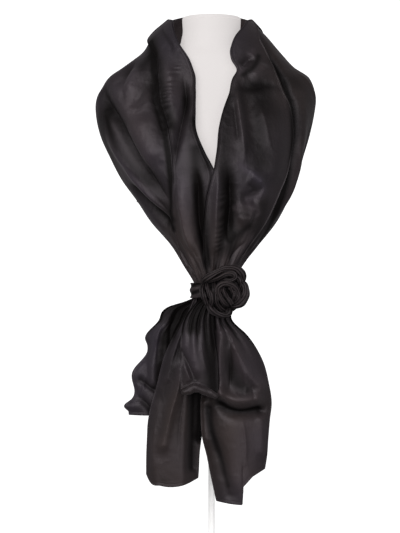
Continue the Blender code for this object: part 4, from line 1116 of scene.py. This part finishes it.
def make_tails():
    """The four hanging ends and the rolled fold that closes the centre one."""
    tail("back_left_end", "tail_back_left", 90, 120, TAIL_BACK_LEFT, HEM_BACK_LEFT,
         BACK_LEFT_TAIL_FOLDS, TAIL_CREASES_BACK_LEFT, TAIL_SHADES_BACK_LEFT, 2)
    tail("left_end", "tail_left", 90, 150, TAIL_LEFT, HEM_LEFT, LEFT_TAIL_FOLDS,
         TAIL_CREASES_LEFT, TAIL_SHADES_LEFT, 3)
    tail("centre_end", "tail_centre", 70, 90, TAIL_CENTRE, HEM_CENTRE, CENTRE_TAIL_FOLDS,
         TAIL_CREASES_CENTRE, TAIL_SHADES_CENTRE, 4)
    tail("right_end", "tail_right", 120, 170, TAIL_RIGHT, HEM_RIGHT, RIGHT_TAIL_FOLDS,
         TAIL_CREASES_RIGHT, TAIL_SHADES_RIGHT, 4, STEP_COLUMNS, rounded=False)
    path = curve(ROLL_PATH, 70)
    turn = full_turn(28)
    rings = []
    for k, (x, z) in enumerate(path):
        end = min(k, len(path) - 1 - k) / 8
        full = math.sqrt(max(0.0, 1 - (1 - min(end, 1)) ** 2))
        radius = ROLL_RADIUS * (0.72 + 0.28 * math.sin(math.pi * k / (len(path) - 1))) * full
        swell = radius * (1 + 0.06 * np.sin(2 * turn + 0.24 * k) + 0.05 * np.sin(0.5 * k))
        run = path[min(k + 1, len(path) - 1)] - path[max(k - 1, 0)]
        aside = np.array((-run[1], run[0])) / np.linalg.norm(run)
        rings.append(points_of(x + aside[0] * swell * np.sin(turn),
                               ROLL_Y - swell * np.cos(turn),
                               z + aside[1] * swell * np.sin(turn)))
    lathe("rolled_fold", rings, SILK, "tail_roll")


def strand(name, width, depth, ridges, twist, path):
    """A plump fold of the rose: a bundle of crushed silk along a path."""
    path = curve(np.array(path, float) / 1000 + (*ROSE_MIDDLE, 0), STRAND_RINGS)
    run = np.gradient(path[:, :2], axis=0)
    side = points_of(-run[:, 1], run[:, 0]) / np.linalg.norm(run, axis=1)[:, None]
    turn = full_turn(STRAND_SIDES)
    rings, tones = [], []
    for k, (x, z, y) in enumerate(path):
        at = k / STRAND_RINGS
        end = min(min(k, STRAND_RINGS - 1 - k) / 12, 1)
        full = math.sqrt(max(0.0, 1 - (1 - end) ** 2))
        full *= 0.86 + 0.10 * math.sin(9 * at + 3 * width) + 0.05 * math.sin(23 * at + depth)
        ridge = np.abs(np.sin(ridges * turn / 2 + math.pi * twist * at
                              + 0.5 * np.sin(7 * at + turn + depth)))
        swell = 0.84 + 0.24 * ridge + 0.06 * np.sin(14 * at + 2 * turn + width)
        wide = width / 1000 * full * swell * np.sin(turn)
        deep = y - depth / 1000 * full * swell * np.cos(turn)
        rings.append(points_of(x + side[k, 0] * wide, deep, z + side[k, 1] * wide))
        # Painted highlight on the ridges, painted shade between them and further back in the
        # rose.
        tones.append(1.1 * ridge - 0.75 - linear(STRAND_GROOVE_SHADE, deep))
    node = "rosette_" + name
    lathe("rose_" + name, rings, SILK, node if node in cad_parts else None,
          np.array(tones))


def make_rosette():
    """The strap round the gather, the oval backing and the rose."""
    def strap(u, v):
        turn = np.radians(-178.5 + 357 * u)
        ridge = np.cos(2 * math.pi * (1.7 * v + 0.9 * np.sin(0.8 * turn)))
        bulge = 0.0015 * np.sin(math.pi * v) + 0.0009 * ridge
        points = points_of(STRAP_CENTRE[0] + (STRAP_HALF[0] + bulge) * np.sin(turn),
                           STRAP_CENTRE[1] - (STRAP_HALF[1] + bulge) * np.cos(turn),
                           STRAP_TOP + (STRAP_BOTTOM - STRAP_TOP) * v)
        # Painted shade over the strap, lifted to a faint painted highlight on its ridges.
        return points, 0.6 * ridge - 0.4

    cloth("rose_strap", 160, 24, strap, "tb", wall=STRAP_WALL, flip=True,
          nodes=("rosette_strap",))
    turn = full_turn(72)
    rings = [points_of(BACKING_CENTRE[0] + BACKING_HALF[0] * share * np.cos(turn),
                       np.full(len(turn), BACKING_Y - rise),
                       BACKING_CENTRE[1] + BACKING_HALF[1] * share * np.sin(turn))
             for share, rise in BACKING_PROFILE]
    # Painted shade: the backing behind the rose is painted dark all over.
    lathe("rose_backing", rings, SILK, "rosette_backing", -1.3)
    for row in STRANDS:
        strand(*row)


def make_stage():
    """A plain pale floor that curves up into a backdrop, soft light and the camera."""
    profile = [(-4.0, 0.0), (1.2, 0.0)]
    profile += [(1.2 + 1.2 * math.sin(a), 1.2 - 1.2 * math.cos(a))
                for a in np.linspace(0.1, math.pi / 2, 14)]
    profile += [(2.4, 5.0)]
    bm = bmesh.new()
    bmesh.ops.create_grid(bm, x_segments=1, y_segments=len(profile) - 1, size=0.5)
    for vert in bm.verts:
        y, z = profile[round((vert.co.y + 0.5) * (len(profile) - 1))]
        vert.co = (vert.co.x * 10, y, z)
    mesh = bpy.data.meshes.new("floor")
    bm.to_mesh(mesh)
    bm.free()
    mesh.shade_smooth()
    paper, start, inputs = material("paper", Roughness=0.9, Emission_Strength=0.98)
    inputs["Base Color"].default_value = (0.6, 0.6, 0.6, 1)
    inputs["Emission Color"].default_value = (1, 1, 1, 1)
    behind = start.node("ShaderNodeNewGeometry", out="Backfacing")
    blend_surface(paper, behind, start.node("ShaderNodeBsdfTransparent"))
    mesh.materials.append(paper)
    floor = bpy.data.objects.new("floor", mesh)
    bpy.context.scene.collection.objects.link(floor)
    floor.visible_glossy = floor.visible_diffuse = False
    world = bpy.data.worlds.new("studio")
    world.use_nodes = True
    world.node_tree.nodes["Background"].inputs["Color"].default_value = (1, 1, 1, 1)
    world.node_tree.nodes["Background"].inputs["Strength"].default_value = 0.22
    bpy.context.scene.world = world
    for name, place, size, power in (("key", (-0.9, -2.3, 1.6), 2.2, 50),
                                     ("fill", (1.1, -2.4, 0.35), 2.0, 15)):
        lamp = bpy.data.lights.new(name, "AREA")
        lamp.size = size
        lamp.energy = power
        light = bpy.data.objects.new(name, lamp)
        light.location = place
        aim = Vector((0, 0, 0.65)) - light.location
        light.rotation_euler = aim.to_track_quat("-Z", "Y").to_euler()
        bpy.context.scene.collection.objects.link(light)
    lens = bpy.data.cameras.new("camera")
    lens.sensor_fit = "VERTICAL"
    lens.sensor_height = SENSOR_HEIGHT
    lens.lens = SENSOR_HEIGHT * CAMERA_AWAY / (PICTURE_ROWS * METRES_A_PIXEL)
    camera = bpy.data.objects.new("camera", lens)
    camera.location = (-0.0213, -CAMERA_AWAY, 0.530)
    camera.rotation_euler = (math.pi / 2, 0, 0)
    bpy.context.scene.collection.objects.link(camera)
    bpy.context.scene.camera = camera
    bpy.context.scene.view_settings.view_transform = "Standard"


make_stage()
make_body(make_form())
make_tails()
make_rosette()
